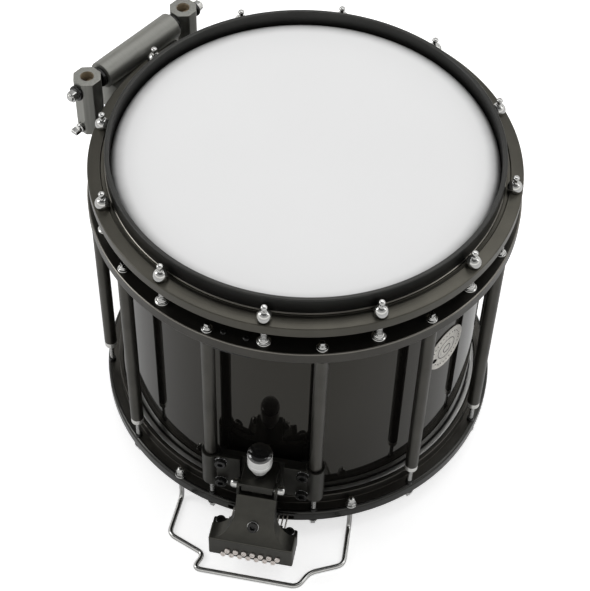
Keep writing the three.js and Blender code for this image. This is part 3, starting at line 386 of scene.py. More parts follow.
def make_anodised(name, colours, tarnish, base=None, roughness=(0.27, 0.4)):
    made = Finish(name, base or colours.anodised, 0.94, 0.34, **{"Specular IOR Level": 0.5})
    marks = made.noise(made.turning(1.0), 1500, 4)
    cloud = made.noise(made.place(), 28, 4)
    made.vary_colour(cloud, 1 - tarnish, 1 + tarnish)
    made.vary_roughness(marks, *roughness)
    made.relief((marks, 0.006), (made.noise(made.place(), 2400, 2), 0.008))
    return made


def make_blasted(name, colours, tarnish):
    """The cast and milled strainer parts: the same colour, bead blasted instead of turned."""
    made = Finish(name, colours.strainer, 0.92, 0.36, **{"Specular IOR Level": 0.5})
    cloud = made.noise(made.place(), 60, 4)
    made.vary_colour(cloud, 1 - tarnish, 1 + tarnish)
    grain = made.noise(made.place(), 2600, 3)
    made.vary_roughness(grain, 0.3, 0.44)
    made.relief((grain, 0.012))
    return made


def make_tube_finish(name, colours, tarnish):
    made = Finish(name, colours.tube, 0.94, 0.3, **{"Specular IOR Level": 0.5})
    streaks = made.noise(made.stretched((1, 1, 0.03)), 900, 3)
    made.vary_colour(made.noise(made.place(), 30, 3), 1 - tarnish, 1 + tarnish)
    made.vary_roughness(streaks, 0.28, 0.4)
    made.relief((streaks, 0.004))
    return made


def make_plated(name, colours, tarnish, base=None, roughness=(0.09, 0.18)):
    made = Finish(name, base or colours.plating, 1, 0.1)
    smear = made.noise(made.place(), 160, 4)
    made.vary_colour(smear, 1 - tarnish, 1 + tarnish / 3)
    made.vary_roughness(smear, *roughness)
    made.relief((made.noise(made.place(), 420, 2), 0.01))
    return made


def make_threaded(name, colours, tarnish):
    made = Finish(name, colours.plating, 1, 0.22)
    thread = made.node("ShaderNodeTexWave", {"Scale": 160.0, "Distortion": 0.0}, bands_direction="Z")
    made.link(made.place(), thread.inputs["Vector"])
    made.vary_colour(made.noise(made.place(), 200, 3), 1 - 2 * tarnish, 1)
    made.relief((thread.outputs["Fac"], 0.35))
    return made


def make_black_steel(name, colours, tarnish):
    made = Finish(name, colours.black_steel, 0, 0.18, **{"Specular IOR Level": 0.3})
    cloud = made.noise(made.place(), 300, 3)
    made.vary_colour(cloud, 1 - tarnish, 1 + 2 * tarnish)
    made.vary_roughness(cloud, 0.14, 0.26)
    made.relief((made.noise(made.place(), 1800, 2), 0.006))
    return made


def make_brushed_post(name, colours, tarnish):
    """Grey posts and bracket, drawn lengthwise."""
    made = Finish(name, colours.brushed, 0.86, 0.4)
    streaks = made.noise(made.stretched((500, 500, 12)), 1, 4)
    made.vary_colour(streaks, 1 - tarnish, 1 + tarnish)
    made.vary_roughness(streaks, 0.3, 0.42)
    made.relief((streaks, 0.008), (made.noise(made.place(), 1800, 2), 0.006))
    return made


def make_brushed_tube(name, colours, tarnish):
    """Grey cross tube, turned on a lathe."""
    made = Finish(name, [0.92 * c for c in colours.brushed], 0.86, 0.46)
    turn = bpy.context.scene.drum_receiver.turn
    rings = made.noise(made.laid(turn, (1700, 60, 60)), 1, 3)
    made.vary_colour(rings, 1 - tarnish / 2, 1 + tarnish / 2)
    made.vary_roughness(rings, 0.42, 0.5)
    made.relief((rings, 0.003))
    return made


def make_bore(name, colours, tarnish):
    made = Finish(name, colours.bore, 0.7, 0.5)
    rings = made.noise(made.stretched((1, 1, 40)), 30, 3)
    made.vary_colour(rings, 1 - 2 * tarnish, 1 + 2 * tarnish)
    made.relief((rings, 0.02))
    return made


def make_badge_finish(name, colours, tarnish):
    made = Finish(name, colours.badge, 0.75, 0.38)
    grain = made.noise(made.place(), 1100, 3)
    made.vary_colour(made.noise(made.place(), 240, 4), 1 - 2 * tarnish, 1 + tarnish)
    made.vary_roughness(grain, 0.3, 0.48)
    made.relief((grain, 0.02))
    return made


def make_cable(name, colours, tarnish):
    made = Finish(name, colours.cable, 0.6, 0.35)
    twist = made.node("ShaderNodeTexWave", {"Scale": 300.0, "Distortion": 0.0}, bands_direction="DIAGONAL")
    made.link(made.place(), twist.inputs["Vector"])
    made.vary_colour(twist.outputs["Fac"], 1 - 2 * tarnish, 1 + tarnish)
    made.relief((twist.outputs["Fac"], 0.12))
    return made


def make_cap(name, colours, tarnish):
    made = Finish(name, colours.cap, 0, 0.06, **{"Coat Weight": 1.0, "Coat Roughness": 0.02, "Coat IOR": 1.7})
    scuff = made.noise(made.place(), 240, 4)
    made.vary_roughness(scuff, 0.04, 0.04 + tarnish / 2)
    made.relief((made.noise(made.place(), 300, 2), 0.006))
    return made


def make_pearl(name, colours, tarnish):
    made = Finish(name, colours.pearl, 0.25, 0.24, **{"Coat Weight": 0.3, "Coat Roughness": 0.08})
    bands = made.noise(made.stretched((20, 20, 900)), 1.5, 3)
    made.vary_colour(bands, 1 - tarnish, 1 + tarnish / 2)
    made.vary_roughness(bands, 0.18, 0.3)
    made.relief((bands, 0.008))
    return made


def make_satin(name, colours, tarnish, base=(0.80, 0.79, 0.76)):
    """Satin nickel of the tubes' collars."""
    made = Finish(name, base, 0.75, 0.32)
    smear = made.noise(made.place(), 200, 4)
    made.vary_colour(smear, 1 - tarnish, 1 + tarnish / 2)
    made.vary_roughness(smear, 0.26, 0.38)
    made.relief((made.noise(made.place(), 900, 2), 0.006))
    return made


def make_screw_steel(name, colours, tarnish):
    """The strand screws: satin with a slight copper tint."""
    return make_satin(name, colours, tarnish, (0.70, 0.65, 0.62))


def make_dark_ring(name, colours, tarnish):
    return make_anodised(name, colours, tarnish, colours.ring, (0.3, 0.42))


def make_collar(name, colours, tarnish):
    """The batter hoop's upright collar, blacker than its flange."""
    return make_anodised(name, colours, tarnish, (0.052, 0.052, 0.05), (0.32, 0.44))


def make_gloss_ring(name, colours, tarnish):
    """The snare-side hoop's flange, blacker and smoother."""
    return make_anodised(name, colours, tarnish, (0.04, 0.04, 0.038), (0.16, 0.26))


def make_edge_highlight(name, colours, tarnish):
    """Bevels painted lighter, as a painted highlight on the dark coat."""
    return make_anodised(name, colours, tarnish, [3 * c for c in colours.ring], (0.2, 0.32))


def make_block_highlight(name, colours, tarnish):
    """Bevels of the strand block, painted lighter as a highlight."""
    return make_anodised(name, colours, tarnish, [1.5 * c for c in colours.strainer], (0.3, 0.42))


def make_rim_glint(name, colours, tarnish):
    """Painted glint on the rims and seats of the black screws."""
    return make_plated(name, colours, tarnish, (0.55, 0.55, 0.55), (0.12, 0.2))


def make_hidden_metal(name, colours, tarnish):
    """Plain extrusion of the flesh hoops."""
    return make_plated(name, colours, tarnish, (0.42, 0.42, 0.41), (0.3, 0.42))


FINISH_MAKERS = {
    "lacquer": make_lacquer,
    "coated_film": make_film,
    "anodised_turned": make_anodised,
    "anodised_ring": make_dark_ring,
    "anodised_blasted": make_blasted,
    "anodised_tube": make_tube_finish,
    "plated": make_plated,
    "threaded": make_threaded,
    "black_steel": make_black_steel,
    "anodised_collar": make_collar,
    "anodised_gloss": make_gloss_ring,
    "worn_edge": make_edge_highlight,
    "cast_edge": make_block_highlight,
    "bright_rim": make_rim_glint,
    "brushed_post": make_brushed_post,
    "brushed_tube": make_brushed_tube,
    "socket_lining": make_bore,
    "badge_metal": make_badge_finish,
    "strand_cable": make_cable,
    "gloss_cap": make_cap,
    "pearl_band": make_pearl,
    "satin_nickel": make_satin,
    "screw_steel": make_screw_steel,
    "hoop_extrusion": make_hidden_metal,
}


def finish(name):
    """The finish of that name, made once."""
    found = bpy.data.materials.get(name)
    if found:
        return found
    colours = values_of("drum_finishes")
    return FINISH_MAKERS[name](name, colours, colours.tarnish).material


# Shapes, in millimetres


def polar(radius, angle):
    """A point on a circle, its angle counted from the strainer towards +X."""
    return radius * math.sin(angle), -radius * math.cos(angle)


def turned(profile, steps=64, rounds=0.0, segments=2):
    """A solid of revolution about Z from [radius, height] points, with its corners rounded."""
    shape = bmesh.new()
    points = [shape.verts.new((radius, 0, height)) for radius, height in profile]
    for pair in zip(points, points[1:] + points[:1]):
        shape.edges.new(pair)
    amounts = rounds if isinstance(rounds, list) else [rounds] * len(points)
    for amount in sorted(set(amounts) - {0}):
        corners = [p for p, a in zip(points, amounts) if a == amount and p.is_valid and p.co.x > 1e-6]
        bmesh.ops.bevel(
            shape, geom=corners, offset=amount, segments=segments, profile=0.5, affect="VERTICES",
            clamp_overlap=True, material=-1,
        )
    middle = [e for e in shape.edges if all(v.co.x < 1e-6 for v in e.verts)]
    bmesh.ops.delete(shape, geom=middle, context="EDGES")
    bmesh.ops.spin(
        shape, geom=shape.verts[:] + shape.edges[:], cent=(0, 0, 0), axis=(0, 0, 1), angle=math.tau,
        steps=steps, use_merge=True,
    )
    return closed(shape)


def closed(shape):
    bmesh.ops.remove_doubles(shape, verts=shape.verts, dist=1e-4)
    bmesh.ops.recalc_face_normals(shape, faces=shape.faces)
    return shape


def moved(shape, offset=(0, 0, 0), turn=0.0):
    """Turns a shape about Z, then moves it."""
    matrix = Matrix.Translation(offset) @ Matrix.Rotation(turn, 4, "Z")
    bmesh.ops.transform(shape, matrix=matrix, verts=shape.verts)
    return shape


def set_along(shape, start, end):
    """Lays a shape that rises from the origin on the line from start towards end."""
    way = Vector(end) - Vector(start)
    matrix = Matrix.Translation(start) @ way.to_track_quat("Z", "Y").to_matrix().to_4x4()
    bmesh.ops.transform(shape, matrix=matrix, verts=shape.verts)
    return shape


def bar(radius, start, end, steps=32, rounds=0.3):
    span = (Vector(end) - Vector(start)).length
    shape = turned([(0, 0), (radius, 0), (radius, span), (0, span)], steps, rounds)
    return set_along(shape, start, end)


def sleeve(inner, outer, start, end, steps=48, rounds=0.3):
    span = (Vector(end) - Vector(start)).length
    shape = turned([(inner, 0), (outer, 0), (outer, span), (inner, span)], steps, rounds)
    return set_along(shape, start, end)


def polygon_bar(sides, flats, start, end, rounds=0.3):
    """A bar of square, hexagonal or octagonal section."""
    span = (Vector(end) - Vector(start)).length
    shape = bmesh.new()
    reach = flats / 2 / math.cos(math.pi / sides)
    bmesh.ops.create_cone(
        shape, cap_ends=True, segments=sides, radius1=reach, radius2=reach, depth=span,
        matrix=Matrix.Translation((0, 0, span / 2)) @ Matrix.Rotation(math.pi / sides, 4, "Z"),
    )
    soften(shape, rounds)
    return set_along(shape, start, end)


def soften(shape, width, segments=2, above=25):
    """Bevels the edges that are sharper than an angle."""
    if width:
        edges = [e for e in shape.edges if e.is_manifold and e.calc_face_angle(0) > math.radians(above)]
        bmesh.ops.bevel(
            shape, geom=edges, offset=width, offset_type="OFFSET", segments=segments, profile=0.5,
            affect="EDGES", clamp_overlap=True, material=-1,
        )
    return shape


def slab(corner, opposite, rounds=0.5, segments=2):
    shape = bmesh.new()
    bmesh.ops.create_cube(shape, size=1)
    a, b = Vector(corner), Vector(opposite)
    size = Vector(map(abs, b - a))
    matrix = Matrix.Translation((a + b) / 2) @ Matrix.Diagonal((*size, 1))
    bmesh.ops.transform(shape, matrix=matrix, verts=shape.verts)
    return soften(shape, rounds, segments)


def prism(outline, way, rounds=0.0):
    """A flat outline of points, drawn out by a vector."""
    shape = bmesh.new()
    face = shape.faces.new([shape.verts.new(point) for point in outline])
    made = bmesh.ops.extrude_face_region(shape, geom=[face])
    bmesh.ops.translate(shape, vec=way, verts=[v for v in made["geom"] if isinstance(v, bmesh.types.BMVert)])
    bmesh.ops.recalc_face_normals(shape, faces=shape.faces)
    return soften(shape, rounds)


def sliced(shape, places, normal):
    """Cuts a shape across at each place, so that it can bend there."""
    for place in places:
        geometry = shape.verts[:] + shape.edges[:] + shape.faces[:]
        bmesh.ops.bisect_plane(shape, geom=geometry, plane_co=place, plane_no=normal)


def lofted(rows, place):
    """A block cut into rows, whose corners go where place(across, back, height) says."""
    shape = bmesh.new()
    bmesh.ops.create_cube(shape, size=1, matrix=Matrix.Translation((0.5, 0.5, 0.5)))
    sliced(shape, [(0, 0, (i / rows) ** 1.3) for i in range(1, rows)], (0, 0, 1))
    for vertex in shape.verts:
        vertex.co = place(*vertex.co)
    bmesh.ops.recalc_face_normals(shape, faces=shape.faces)
    return shape


def joined(first, *others):
    for other in others:
        part = bpy.data.meshes.new("part")
        other.to_mesh(part)
        other.free()
        first.from_mesh(part)
        bpy.data.meshes.remove(part)
    return first


def linked(name, shape):
    """A new object in the scene with the shape as its mesh."""
    mesh = bpy.data.meshes.new(name)
    shape.to_mesh(mesh)
    shape.free()
    made = bpy.data.objects.new(name, mesh)
    bpy.context.scene.collection.objects.link(made)
    return made


def carved(shape, *cutters):
    """The shape with the cutters taken out of it."""
    holders = [linked("carving", made) for made in (shape, joined(*cutters))]
    solid, tool = holders
    cut = solid.modifiers.new("cut", "BOOLEAN")
    cut.operation, cut.object, cut.solver = "DIFFERENCE", tool, "EXACT"
    result = bmesh.new()
    result.from_object(solid, bpy.context.evaluated_depsgraph_get())
    for holder in holders:
        mesh = holder.data
        bpy.data.objects.remove(holder)
        bpy.data.meshes.remove(mesh)
    bmesh.ops.dissolve_limit(result, angle_limit=math.radians(0.5), verts=result.verts, edges=result.edges)
    return result


def rounded_path(corners, bend, steps):
    """The corners of a path, with each inner one rounded."""
    path = [Vector(corners[0])]
    for before, corner, after in zip(corners, corners[1:], corners[2:]):
        corner = Vector(corner)
        back, on = Vector(before) - corner, Vector(after) - corner
        reach = min(bend, back.length / 2, on.length / 2)
        start, end = corner + back.normalized() * reach, corner + on.normalized() * reach
        for i in range(steps + 1):
            t = i / steps
            path.append(start * (1 - t) ** 2 + corner * 2 * t * (1 - t) + end * t**2)
    return path + [Vector(corners[-1])]


def swept(path, radius):
    """A round rod along a path of points."""
    curve = bpy.data.curves.new("path", "CURVE")
    curve.dimensions, curve.bevel_depth, curve.bevel_resolution = "3D", radius, 5
    curve.use_fill_caps = True
    spline = curve.splines.new("POLY")
    spline.points.add(len(path) - 1)
    for point, place in zip(spline.points, path):
        point.co = (*place, 1)
    holder = bpy.data.objects.new("path", curve)
    bpy.context.scene.collection.objects.link(holder)
    rod = bpy.data.meshes.new_from_object(holder.evaluated_get(bpy.context.evaluated_depsgraph_get()))
    shape = bmesh.new()
    shape.from_mesh(rod)
    bpy.data.objects.remove(holder)
    bpy.data.curves.remove(curve)
    bpy.data.meshes.remove(rod)
    return closed(shape)


def slot_of(mesh, finish_name):
    """The mesh's slot for a finish, added when it is new."""
    material = finish(finish_name)
    if mesh.materials.find(material.name) < 0:
        mesh.materials.append(material)
    return mesh.materials.find(material.name)


def make_piece(name, parts, body, nodes, weighted=True):
    """Joins [shape, finish] pairs into one object that rides on a body and stands for CAD nodes.

    A finish is a name, or a function that gives each face its own."""
    mesh = bpy.data.meshes.new(name)
    whole = bmesh.new()
    for shape, look in parts:
        shape.normal_update()
        for face in shape.faces:
            face.material_index = slot_of(mesh, look(face) if callable(look) else look)
        joined(whole, shape)
    bmesh.ops.scale(whole, vec=(1 / MM,) * 3, verts=whole.verts)
    whole.to_mesh(mesh)
    whole.free()
    mesh.shade_smooth()
    mesh.set_sharp_from_angle(angle=math.radians(32))
    piece = bpy.data.objects.new(name, mesh)
    bpy.context.scene.collection.objects.link(piece)
    if weighted:
        normals = piece.modifiers.new("even_normals", "WEIGHTED_NORMAL")
        normals.keep_sharp = True
    if body:
        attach(piece, body)
    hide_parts(*nodes)
    return piece


def lug_pieces(names, circle, shift, make_parts):
    """Makes a piece for each lug from [shape, finish] pairs that stand on the drum's axis."""
    for i, name in enumerate(names):
        angle = math.tau * (i + shift) / LUGS
        place = (*polar(circle, angle), 0)
        parts = [(moved(shape, place, angle), look) for shape, look in make_parts()]
        make_piece("shown_" + name, parts, "drum", [name])


# Screws and nuts that several pieces share


def socket_head(radius, height, start, end, flats, depth=3.0):
    """A cylinder head screw with a hexagon socket, its face at start."""
    way = (Vector(end) - Vector(start)).normalized()
    head = bar(radius, start, Vector(start) + way * height, 40, 0.8)
    tool = polygon_bar(6, flats, Vector(start) - way * 2, Vector(start) + way * depth, 0)
    return carved(head, tool)


def screw_look(way):
    """Black steel with a painted glint on its rim, for a screw whose head faces against a direction."""
    facing = -Vector(way).normalized()

    def look(face):
        return "bright_rim" if 0.3 < face.normal.dot(facing) < 0.9 else "black_steel"

    return look


def cap_nut(x, y, seat):
    """A flanged hexagon nut with a dome."""
    top, flange_radius, dome_radius, dome_height = seat + 6, 5.8, 4.2, 5
    flange = turned([(0, seat), (flange_radius, seat), (flange_radius - 0.4, seat + 1.4), (0, seat + 1.6)], 36, 0.3)
    hexagon = polygon_bar(6, 8.6, (0, 0, seat + 1), (0, 0, top), 0.5)
    dome = turned(
        [(0, top - 0.5), (dome_radius, top - 0.5), (dome_radius, top + 0.3 * dome_height),
         (0.62 * dome_radius, top + 0.86 * dome_height), (0, top + dome_height)], 36, 0.8, 3,
    )
    return moved(joined(flange, hexagon, dome), (x, y, 0))


# Operators. One that can't finish raises an error, which stops the script.


class DRUM_OT_shell(bpy.types.Operator):
    """Makes the lacquered shell with its bearing edges and vent"""

    bl_idname = "drum.make_shell"
    bl_label = "Shell"

    def execute(self, context):
        s = values_of("drum_body")
        inner, crest, slope = s.shell_radius - s.shell_wall, s.shell_radius - 3, 3
        profile = [
            (inner, s.shell_top - slope), (crest, s.shell_top), (s.shell_radius, s.shell_top - slope),
            (s.shell_radius, s.shell_bottom + slope), (crest, s.shell_bottom), (inner, s.shell_bottom + slope),
        ]
        shape = carved(turned(profile, s.ring_steps, 0.5), vent_tool(s, 2.5))
        make_piece("drum_shell", [(shape, "lacquer")], "drum", ["shell"])
        return {"FINISHED"}


def vent_tool(s, radius):
    angle = s.badge_angle + VENT[0] / s.shell_radius
    z = BADGE_HEIGHT + VENT[1]
    start = (*polar(s.shell_radius - s.shell_wall - 3, angle), z)
    return bar(radius, start, (*polar(s.shell_radius + 4, angle), z), 24, 0)


def on_shell(shape, angle, height, reach):
    """Wraps a flat shape round the shell: its X runs round, its Y up and its Z outwards."""
    sliced(shape, [(i * 3.1, 0, 0) for i in range(-8, 9)], (1, 0, 0))
    for vertex in shape.verts:
        x, y, z = vertex.co
        vertex.co = (*polar(reach + z, angle + x / reach), height + y)
    return closed(shape)


class DRUM_OT_badge(bpy.types.Operator):
    """Makes the plain round badge, wrapped on the shell, with the vent's eyelet"""

    bl_idname = "drum.make_badge"
    bl_label = "Badge"

    def execute(self, context):
        s = values_of("drum_body")
        r = s.badge_radius
        profile = [
            (0, 0), (r, 0), (r, 0.8), (r - 0.7, 1.2), (r - 1.9, 1.2), (r - 2.3, 0.8), (r - 9.2, 0.8),
            (r - 9.5, 1.05), (r - 10.4, 1.05), (r - 10.7, 0.8), (r - 16, 0.8), (r - 16.4, 1.1), (0, 1.1),
        ]
        disc = carved(turned(profile, 96, 0.12), bar(2.6, (*VENT, -3), (*VENT, 5), 24, 0))
        marks = []
        for i in range(28):
            angle = math.tau * (i + 0.5) / 28
            x, y = polar(r - 5.8, angle)
            if (Vector((x, y)) - Vector(VENT)).length > 5:
                marks.append(bar(0.75, (x, y, 0.4), (x, y, 0.95), 10, 0.1))
        marks.append(sleeve(11.6, 12.3, (0, 0, 0.4), (0, 0, 0.92), 64, 0))
        marks.append(sleeve(4.4, 5.3, (0, 0, 0.6), (0, 0, 1.2), 48, 0))
        eyelet = turned([(2.1, 0.2), (2.9, 0.2), (2.9, 1.0), (2.1, 1.2)], 32, 0.15)
        moved(eyelet, (*VENT, 0))
        place = (s.badge_angle, BADGE_HEIGHT, s.shell_radius + 0.3)
        parts = [
            (on_shell(disc, *place), "badge_metal"), (on_shell(joined(*marks), *place), "black_steel"),
            (on_shell(eyelet, *place), "black_steel"),
        ]
        make_piece("shell_badge", parts, "drum", ["badge"])
        return {"FINISHED"}


def head_shape(s):
    """A film with its folded collar, face up at height 0."""
    outer, drop, skirt, film = s.head_radius, 3.4, 16.5, 0.4
    crest = outer - drop
    profile = [
        (0, 0), (crest, 0), (outer, -drop), (outer, -skirt), (outer - film, -skirt),
        (outer - film, -drop - 0.17), (crest - 0.17, -film), (0, -film),
    ]
    return turned(profile, s.ring_steps, [0, 2.2, 1.8, 0, 0, 1.7, 2.1, 0], 4)


def flesh_shape(s):
    """The metal hoop that holds the film, just inside the counterhoop."""
    inner, outer = s.head_radius + 0.3, s.head_radius + 4.7
    return turned([(inner, -18), (outer, -18), (outer, -8), (inner, -8)], s.ring_steps, 0.8)


def turned_over(shape, height):
    matrix = Matrix.Translation((0, 0, height)) @ Matrix.Rotation(math.pi, 4, "X")
    bmesh.ops.transform(shape, matrix=matrix, verts=shape.verts)
    return shape


class DRUM_OT_heads(bpy.types.Operator):
    """Makes both heads and their flesh hoops"""

    bl_idname = "drum.make_heads"
    bl_label = "Heads"

    def execute(self, context):
        s = values_of("drum_body")
        kinds = (
            ("head", head_shape, "coated_film", "head_film"),
            ("flesh_hoop", flesh_shape, "hoop_extrusion", "flesh_hoop"),
        )
        for word, make, look, slot in kinds:
            make_piece("batter_" + word, [(make(s), look)], "drum", ["top_" + word])
        for word, make, look, slot in kinds:
            lower = turned_over(make(s), s.head_bottom)
            make_piece("snare_" + word, [(lower, look)], "drum", ["bottom_" + word])
        return {"FINISHED"}


def rim_look(radius):
    """Dark ring finish, with a painted highlight on the bevels outside a radius."""

    def look(face):
        highlighted = 0.2 < face.normal.z < 0.97 and face.calc_center_median().xy.length > radius
        return "worn_edge" if highlighted else "anodised_ring"

    return look


class DRUM_OT_hoops(bpy.types.Operator):
    """Makes the batter hoop, the middle ring and the snare-side hoop with its openings for the strands"""

    bl_idname = "drum.make_hoops"
    bl_label = "Hoops"

    def execute(self, context):
        s = values_of("drum_body")
        self.batter_hoop(s)
        self.middle_ring(s)
        self.snare_hoop(s)
        return {"FINISHED"}

    def batter_hoop(self, s):
        inner = s.head_radius + HOOP_GAP
        outer, skirt = inner + 4.2, inner + SKIRT_WALL
        top, under = s.collar_top, s.flange_bottom
        face = under + FLANGE
        groove = outer + 0.8
        profile = [
            (inner, -HOOP_SEAT), (skirt, -HOOP_SEAT), (skirt, under), (s.hoop_radius, under),
            (s.hoop_radius, face - 1), (groove + 4, face), (groove + 3.6, face - 1.6), (groove + 0.3, face - 1.6),
            (groove, face + 0.3), (outer, face + 0.8), (outer, top), (inner, top),
        ]
        rounds = [0.3, 0.3, 0.4, 1.4, 1.0, 0.35, 0.35, 0.35, 0.2, 0.2, 1.0, 1.0]
        shape = turned(profile, s.ring_steps, rounds, 3)

        def look(part):
            middle = part.calc_center_median()
            radius = middle.xy.length
            # the collar's foot, beside the groove, gets a painted highlight line
            if outer - 0.1 < radius < groove + 0.1 and face < middle.z < face + 2:
                return "worn_edge"
            black = radius < outer + 0.1 and middle.z > face
            return "anodised_collar" if black else "anodised_turned"

        make_piece("batter_hoop", [(shape, look)], "drum", ["top_hoop"])

    def middle_ring(self, s):
        inner = s.shell_radius + 3
        outer, top, under = s.ring_radius, s.ring_top, s.ring_bottom
        profile = [(inner, under), (outer, under), (outer, top), (inner, top)]
        shape = turned(profile, s.ring_steps, [0.6, 1.5, 1.3, 0.6], 3)
        make_piece("middle_ring", [(shape, rim_look(outer - 2.4))], "drum", ["tension_ring"])

    def snare_hoop(self, s):
        inner = s.head_radius + HOOP_GAP
        seat = s.head_bottom + HOOP_SEAT
        skirt = inner + SKIRT_WALL
        wall = skirt + 4.5
        lip = s.lip_bottom
        face, flange = s.head_bottom + SNARE_FLANGE, lip + LIP
        profile = [
            (inner, lip), (skirt, lip), (wall, flange), (s.hoop_radius, flange), (s.hoop_radius, face),
            (wall, face), (wall, s.skirt_top), (skirt, s.skirt_top), (skirt, seat), (inner, seat),
        ]
        shape = turned(profile, s.ring_steps, [1, 0.5, 0.4, 1.6, 3.2, 0.5, 1, 1, 0.3, 0.3], 4)
        reach = s.hoop_radius + 5
        openings = [
            slab((-33, side * reach, flange + 3.2), (33, side * (inner - 5), flange + 8.6), 0) for side in (-1, 1)
        ]
        shape = carved(shape, *openings)

        def look(part):
            skirted = part.calc_center_median().xy.length < wall + 0.6
            return "anodised_ring" if skirted else "anodised_gloss"

        make_piece("snare_hoop", [(shape, look)], "drum", ["bottom_hoop"])


class DRUM_OT_rods(bpy.types.Operator):
    """Makes the twelve tension rods with their domed washers and ring inserts"""

    bl_idname = "drum.make_rods"
    bl_label = "Tension rods"

    def execute(self, context):
        s = values_of("drum_body")
        lug_pieces(ROD_NAMES, s.rod_circle, 0, lambda: self.parts(s))
        return {"FINISHED"}

    def parts(self, s):
        face = s.flange_bottom + FLANGE
        key = slab((-1.7, -1.7, face + 9), (1.7, 1.7, face + 14.4), 0.5)
        button = turned(
            [(0, face + 16.6), (1.9, face + 16.6), (3.2, face + 15.2), (3.1, face + 13.9), (0, face + 13.4)], 32,
            [0, 0.8, 0.8, 0.4, 0], 3,
        )
        neck = turned(
            [(0, face + 10.6), (2.2, face + 10.6), (2.7, face + 9.6), (2.7, face + 8), (0, face + 8)], 32, 0.3,
        )
        swell = [math.radians(68 - 92 * i / 18) for i in range(19)]
        ball = [(7 * math.cos(a), face + 2.9 + 7 * math.sin(a)) for a in swell]
        dome = turned([(0, face + 9.4), *ball, (0, face + 0.05)], 48)
        shaft = bar(3, (0, 0, face + 1), (0, 0, s.ring_top + 1), 24, 0)
        top = s.ring_top
        insert = turned(
            [(0, top + 6.8), (3.5, top + 6.8), (3.7, top + 5.2), (5.0, top + 4.2), (5.2, top + 2.3), (6.6, top + 1.6),
             (6.6, top + 0.2), (0, top + 0.2)], 40, [0, 0.3, 0.3, 0.8, 0.4, 0.6, 0.2, 0], 3,
        )
        bush = sleeve(3.1, 4.8, (0, 0, s.ring_bottom + 0.1), (0, 0, top + 0.3), 32)
        tip = bar(3, (0, 0, s.ring_bottom + 0.2), (0, 0, top + 1), 24, 0.4)
        return [(joined(key, button, neck, dome, insert, bush), "plated"), (joined(shaft, tip), "threaded")]


class DRUM_OT_tubes(bpy.types.Operator):
    """Makes the twelve tubes with their key screws and plated feet"""

    bl_idname = "drum.make_tubes"
    bl_label = "Tubes"

    def execute(self, context):
        s = values_of("drum_body")
        lug_pieces(TUBE_NAMES, s.tube_circle, 0.5, lambda: self.parts(s))
        return {"FINISHED"}

    def parts(self, s):
        top, foot = s.ring_top + 0.3, s.head_bottom + 39
        flange = s.lip_bottom + LIP - 0.3
        key = slab((-2, -2, top + 1.6), (2, 2, top + 8.4), 0.5)
        boss = turned(
            [(0, top + 4.4), (2.8, top + 4.4), (3.4, top + 2.2), (5.3, top + 1.5), (5.3, top), (0, top)], 32,
            [0, 0.5, 0.5, 0.5, 0.2, 0], 3,
        )
        post = turned([(0, foot), (s.tube_radius, foot), (s.tube_radius, s.ring_bottom - 0.2),
                       (0, s.ring_bottom - 0.2)], 48, 0.5)
        collar = turned(
            [(0, foot + 1), (6.0, foot + 1), (6.3, foot - 0.5), (6.3, foot - 6), (4.0, foot - 9), (3.4, foot - 10),
             (0, foot - 10)], 40, [0, 0.2, 0.3, 0.8, 0.8, 0.4, 0], 3,
        )
        seat = s.head_bottom + SNARE_FLANGE
        bush = turned([(0, seat - 1), (3.8, seat - 1), (3.6, seat + 3.2), (0, seat + 3.2)], 32, 0.5)
        stud = bar(2.4, (0, 0, flange - 1), (0, 0, foot - 6), 24, 0)
        low_head = turned(
            [(0, flange), (5, flange), (5, flange - 1.6), (3.6, flange - 4.6), (0, flange - 4.6)], 32, 0.4
        )
        low_key = slab((-2.3, -2.3, flange - 9.2), (2.3, 2.3, flange - 4), 0.7)
        return [
            (post, "anodised_tube"), (joined(key, boss, low_head, low_key), "plated"), (collar, "satin_nickel"),
            (bush, "black_steel"), (stud, "threaded"),
        ]


class DRUM_OT_stay(bpy.types.Operator):
    """Makes the short plate under the ring with its two button screws"""

    bl_idname = "drum.make_stay"
    bl_label = "Ring stay"

    def execute(self, context):
        s = values_of("drum_body")
        inner, outer = s.ring_radius - 17.8, s.ring_radius - 0.8
        turns = [math.radians(-12.7 + 10 * i / 12) for i in range(13)]
        under = s.ring_bottom - 2.1
        outline = [(*polar(outer, a), under) for a in turns]
        outline += [(*polar(inner, a), under) for a in reversed(turns)]
        shapes = [prism(outline, (0, 0, 1.8), 0.4)]
        for angle in (math.radians(-10.8), math.radians(-4.6)):
            x, y = polar(s.ring_radius - 9.8, angle)
            seat = s.ring_top + 0.3
            button = turned([(0, seat), (3.2, seat), (3.0, seat + 0.9), (1.9, seat + 1.8), (0, seat + 1.8)], 32, 0.35)
            moved(button, (x, y, 0))
            tool = polygon_bar(6, 2.4, (x, y, seat + 0.8), (x, y, seat + 4), 0)
            shank = bar(2, (x, y, s.ring_bottom - 1), (x, y, seat + 0.5), 20, 0)
            shapes += [carved(button, tool), shank]
        make_piece("shown_ring_stay", [(joined(*shapes), "black_steel")], "drum", ["ring_stay"])
        return {"FINISHED"}


def strainer_places():
    """Places that the strainer's pieces share, in millimetres."""
    body, s = values_of("drum_body"), values_of("drum_strainer")
    x, y = polar(body.tube_circle, math.pi / LUGS)
    pivot_low, pivot_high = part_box("pivot_pin")
    middle = (s.clamp_top + s.clamp_bottom) / 2
    return SimpleNamespace(
        tube_x=x, tube_y=y, clamp_middle=middle, screw_heights=(middle - 16, middle + 16),
        pivot_y=(pivot_low.y + pivot_high.y) / 2 * MM, pivot_z=(pivot_low.z + pivot_high.z) / 2 * MM,
        knob_y=(low("tension_knob", "y") + high("tension_knob", "y")) / 2 * MM, bolt_x=x - 11,
    )


